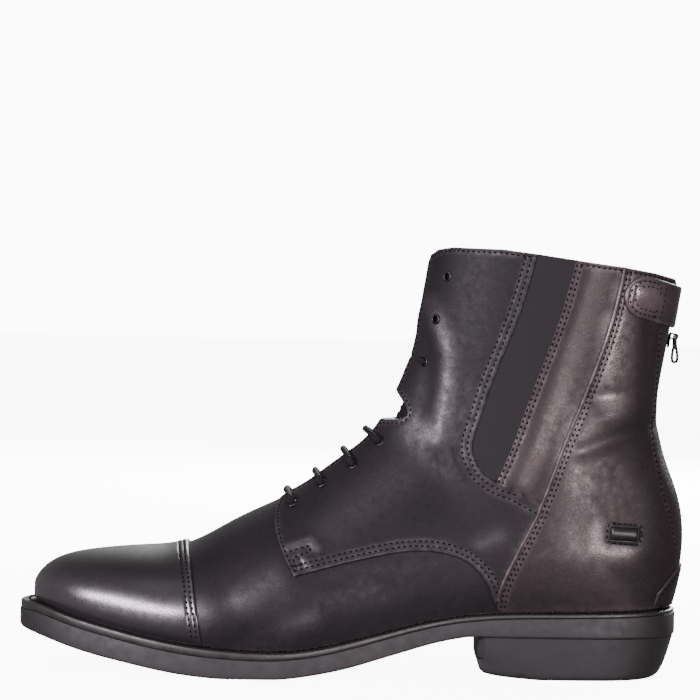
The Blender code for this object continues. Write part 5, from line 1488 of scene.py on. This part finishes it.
def make_collar_tab():
    """The tab over the top of the zip, padded in the middle, with its rows of stitches."""
    straight = TAB_REACH - TAB_HALF
    arc = np.sin(np.linspace(0, 1.565, 34))[1:]
    depths = np.concatenate([np.linspace(0.0, straight, 34), straight + TAB_HALF * arc])
    half = TAB_HALF * np.sqrt(np.clip(1.0 - np.clip((depths - straight) / TAB_HALF, 0.0, 1.0) ** 2, 1e-5, 1.0))
    middle, lift = np.interp(depths, *TAB_MIDDLE), np.interp(depths, *TAB_LIFT)
    across = (1.0 - np.cos(np.linspace(0.0, math.pi, 33))) / 2
    edge = np.minimum(across, 1.0 - across)[None] * 2 * half[:, None]
    edge = np.clip(np.minimum(edge, (TAB_REACH - depths)[:, None]), 0.0, None)
    thick = rolled(edge, TAB_THICK, TAB_ROLL)
    for inset in TAB_ROWS:
        thick = thick - groove(edge - inset) * (depths > TAB_ROWS_FROM)[:, None]
    rise = (across - 0.5)[None] * 2 * half[:, None]

    def mound(strength, depth, long, tall):
        return strength * np.exp(-((depths - depth) / long)[:, None] ** 2 - (rise / tall) ** 2)

    # the tab's middle is lightened as a painted highlight, its edges as wear and painted highlight
    strap("collar_tab_leather", depths, middle - half, middle + half, lift, thick + mound(*TAB_PAD), across,
          "tab leather with painted highlight", "collar_tab", np.maximum(np.exp(-edge / EDGE_WEAR_AND_HIGHLIGHT), mound(*TAB_PAINTED_HIGHLIGHT)))
    turn, start = np.linspace(-math.pi / 2, math.pi / 2, 60), TAB_CROSS_ROWS[-1]
    for side in (LEFT, RIGHT):
        for inset in TAB_ROWS:
            depth = np.concatenate([[start], straight + (TAB_HALF - inset) * np.cos(turn), [start]])
            sew_on_tab(depth, np.concatenate([[-1.0], np.sin(turn), [1.0]]) * (TAB_HALF - inset), side)
        for depth in TAB_CROSS_ROWS:
            end = TAB_HALF - TAB_CROSS_INSET
            sew_on_tab(np.full(40, depth), np.linspace(-end, end, 40), side)


def sew_on_tab(depth, rise, side):
    """A row of stitches on the tab, by depth in from the back seam and rise over the tab's middle."""
    u, angle = behind(depth, np.interp(depth, *TAB_MIDDLE) + rise, side)
    points = skin(u, angle, side, np.interp(depth, *TAB_LIFT) + TAB_THICK - STITCH_SINK)
    far = lengths(points)
    places = np.linspace(0.0, far[-1], 120)
    sew(placed(points, far, places), placed(normals(u, angle, side), far, places))


def make_heel_patch():
    """The patch over the zip's foot, with one row of stitches under its upper edge."""
    table = np.array(HEEL_PATCH)
    depths = runs((0.0, 1.7, 8), (1.7, 8.5, 28))
    low, high = np.interp(depths, table[:, 0], table[:, 1]), natural_spline(table[:, 0], table[:, 2])(depths)
    across = np.linspace(0.0, 1.0, 24)
    edge = np.minimum((1.0 - across)[None] * (high - low)[:, None], (PATCH_REACH - depths)[:, None])
    # the patch's edges are lightened: wear and painted highlight
    strap("heel_patch_leather", depths, low, high, np.full(len(depths), BACK_TOP),
          rolled(edge, PATCH_THICK, PATCH_ROLL), across, "back leather", "heel_patch", np.exp(-edge / EDGE_WEAR_AND_HIGHLIGHT))
    line = np.column_stack([depths, high])[2:]
    run = unit(np.gradient(line, axis=0))
    line = line + np.column_stack([run[:, 1], -run[:, 0]]) * PATCH_ROW
    line = line[(line[:, 0] > PATCH_ROW_DEPTH) & (line[:, 1] > PATCH_ROW_LOW)]
    for side in (LEFT, RIGHT):
        u, angle = behind(*line.T, side)
        sew(skin(u, angle, side, BACK_TOP + PATCH_THICK), normals(u, angle, side))


def make_keeper(side, label):
    """A spur rest: a sewn frame with rounded corners round a glossy rolled bar."""
    x0, x1, z0, z1 = KEEPER
    wide, high, tilt = (x1 - x0) / 2, (z1 - z0) / 2, KEEPER_TILT
    turn = np.linspace(0.0, 2 * math.pi, 73)

    def tilted(a, b):
        return ((x0 + x1) / 2 + a * math.cos(tilt) - b * math.sin(tilt),
                (z0 + z1) / 2 + a * math.sin(tilt) + b * math.cos(tilt))

    def ring(inset):
        a = signed_power(np.cos(turn), KEEPER_SQUARE) * (wide - inset)
        b = signed_power(np.sin(turn), KEEPER_SQUARE) * (high - inset)
        return np.column_stack(locate(*tilted(a, b), side))

    panel(f"spur_keeper_{label}_frame", [f"spur_keeper_{label}"], "dark leather", side, [ring(0.0)], KEEPER_TOP,
          [resampled(ring(KEEPER_ROW), side, CLOSE_STEP)], [ring(KEEPER_HOLE)[:-1]], base=KEEPER_BASE)
    a, b = np.meshgrid(np.linspace(-1.0, 1.0, 41), np.linspace(-1.0, 1.0, 25), indexing="ij")
    reach, rise = wide - BAR_ENDS, high - BAR_SIDES
    u, angle = locate(*tilted(a * reach, b * rise), side)
    end = np.clip((1.0 - np.abs(a)) * reach / BAR_ROUND, 0.0, 1.0)
    height = np.sqrt(np.clip(1.0 - b ** 2, 0.0, 1.0)) * np.sqrt(1.0 - (1.0 - end) ** 2)
    bar = skin(u, angle, side, BAR_FOOT + BAR_HIGH * height)
    shell(f"spur_keeper_{label}_roll", [bar], [skin(u, angle, side, KEEPER_BASE)], "gloss", ())


def make_stage():
    """Pale floor, white surroundings, soft boxes and the photo's camera."""
    size = 6.0
    mesh = bpy.data.meshes.new("floor")
    mesh.from_pydata([(-size, -size, 0), (size, -size, 0), (size, size, 0), (-size, size, 0)], [], [(0, 1, 2, 3)])
    white = Finish("floor_white", (0.93, 0.93, 0.93), 0.9, Emission_Strength=FLOOR_GLOW, Specular_IOR_Level=0.0)
    white.shader.inputs["Emission Color"].default_value = (1.0, 1.0, 1.0, 1.0)
    mesh.materials.append(white.material)
    floor = bpy.data.objects.new("floor", mesh)
    bpy.context.scene.collection.objects.link(floor)
    floor.visible_diffuse = floor.visible_glossy = False
    world = bpy.data.worlds.new("studio")
    bpy.context.scene.world = world
    world.use_nodes = True
    tree = world.node_tree
    rays, mixed = tree.nodes.new("ShaderNodeLightPath"), tree.nodes.new("ShaderNodeMixShader")
    lighting, shown = tree.nodes["Background"], tree.nodes.new("ShaderNodeBackground")
    for background, strength in ((lighting, ROOM), (shown, BACKDROP)):
        background.inputs["Color"].default_value = (1.0, 1.0, 1.0, 1.0)
        background.inputs["Strength"].default_value = strength
    tree.links.new(rays.outputs["Is Camera Ray"], mixed.inputs[0])
    tree.links.new(lighting.outputs[0], mixed.inputs[1])
    tree.links.new(shown.outputs[0], mixed.inputs[2])
    tree.links.new(mixed.outputs[0], tree.nodes["World Output"].inputs["Surface"])
    for name, (aim, bearing, rise, far, wide, high, power, colour) in LIGHTS.items():
        light = bpy.data.lights.new(name, "AREA")
        light.shape = "RECTANGLE"
        light.size, light.size_y = wide, high
        light.energy = power
        light.color = colour
        lamp = bpy.data.objects.new(name, light)
        bearing, rise = math.radians(bearing), math.radians(rise)
        towards = Vector((math.sin(bearing) * math.cos(rise), -math.cos(bearing) * math.cos(rise), math.sin(rise)))
        lamp.location = Vector(aim) + towards * far
        lamp.rotation_euler = towards.to_track_quat("Z", "Y").to_euler()
        lamp.visible_camera = False
        bpy.context.scene.collection.objects.link(lamp)
    camera = bpy.data.cameras.new("camera")
    camera.sensor_width = 36.0
    camera.lens = LENS
    seen = bpy.data.objects.new("camera", camera)
    away = (Vector(CAMERA) - Vector(CAMERA_AIM)).normalized()
    right = Vector((0.0, 0.0, 1.0)).cross(away).normalized()
    up = away.cross(right)
    turn = math.radians(CAMERA_ROLL)
    axes = (right * math.cos(turn) + up * math.sin(turn), up * math.cos(turn) - right * math.sin(turn), away)
    seen.matrix_world = Matrix.Translation(CAMERA) @ Matrix(axes).transposed().to_4x4()
    bpy.context.scene.collection.objects.link(seen)
    bpy.context.scene.camera = seen


def main():
    make_sole()
    make_upper()
    make_toe_cap()
    make_tongue()
    for side, label in SIDES:
        make_panels(side, label)
        make_keeper(side, label)
    make_zip()
    make_collar_tab()
    make_heel_patch()
    make_eyelets()
    make_laces()
    make_stitches()
    make_stage()


main()
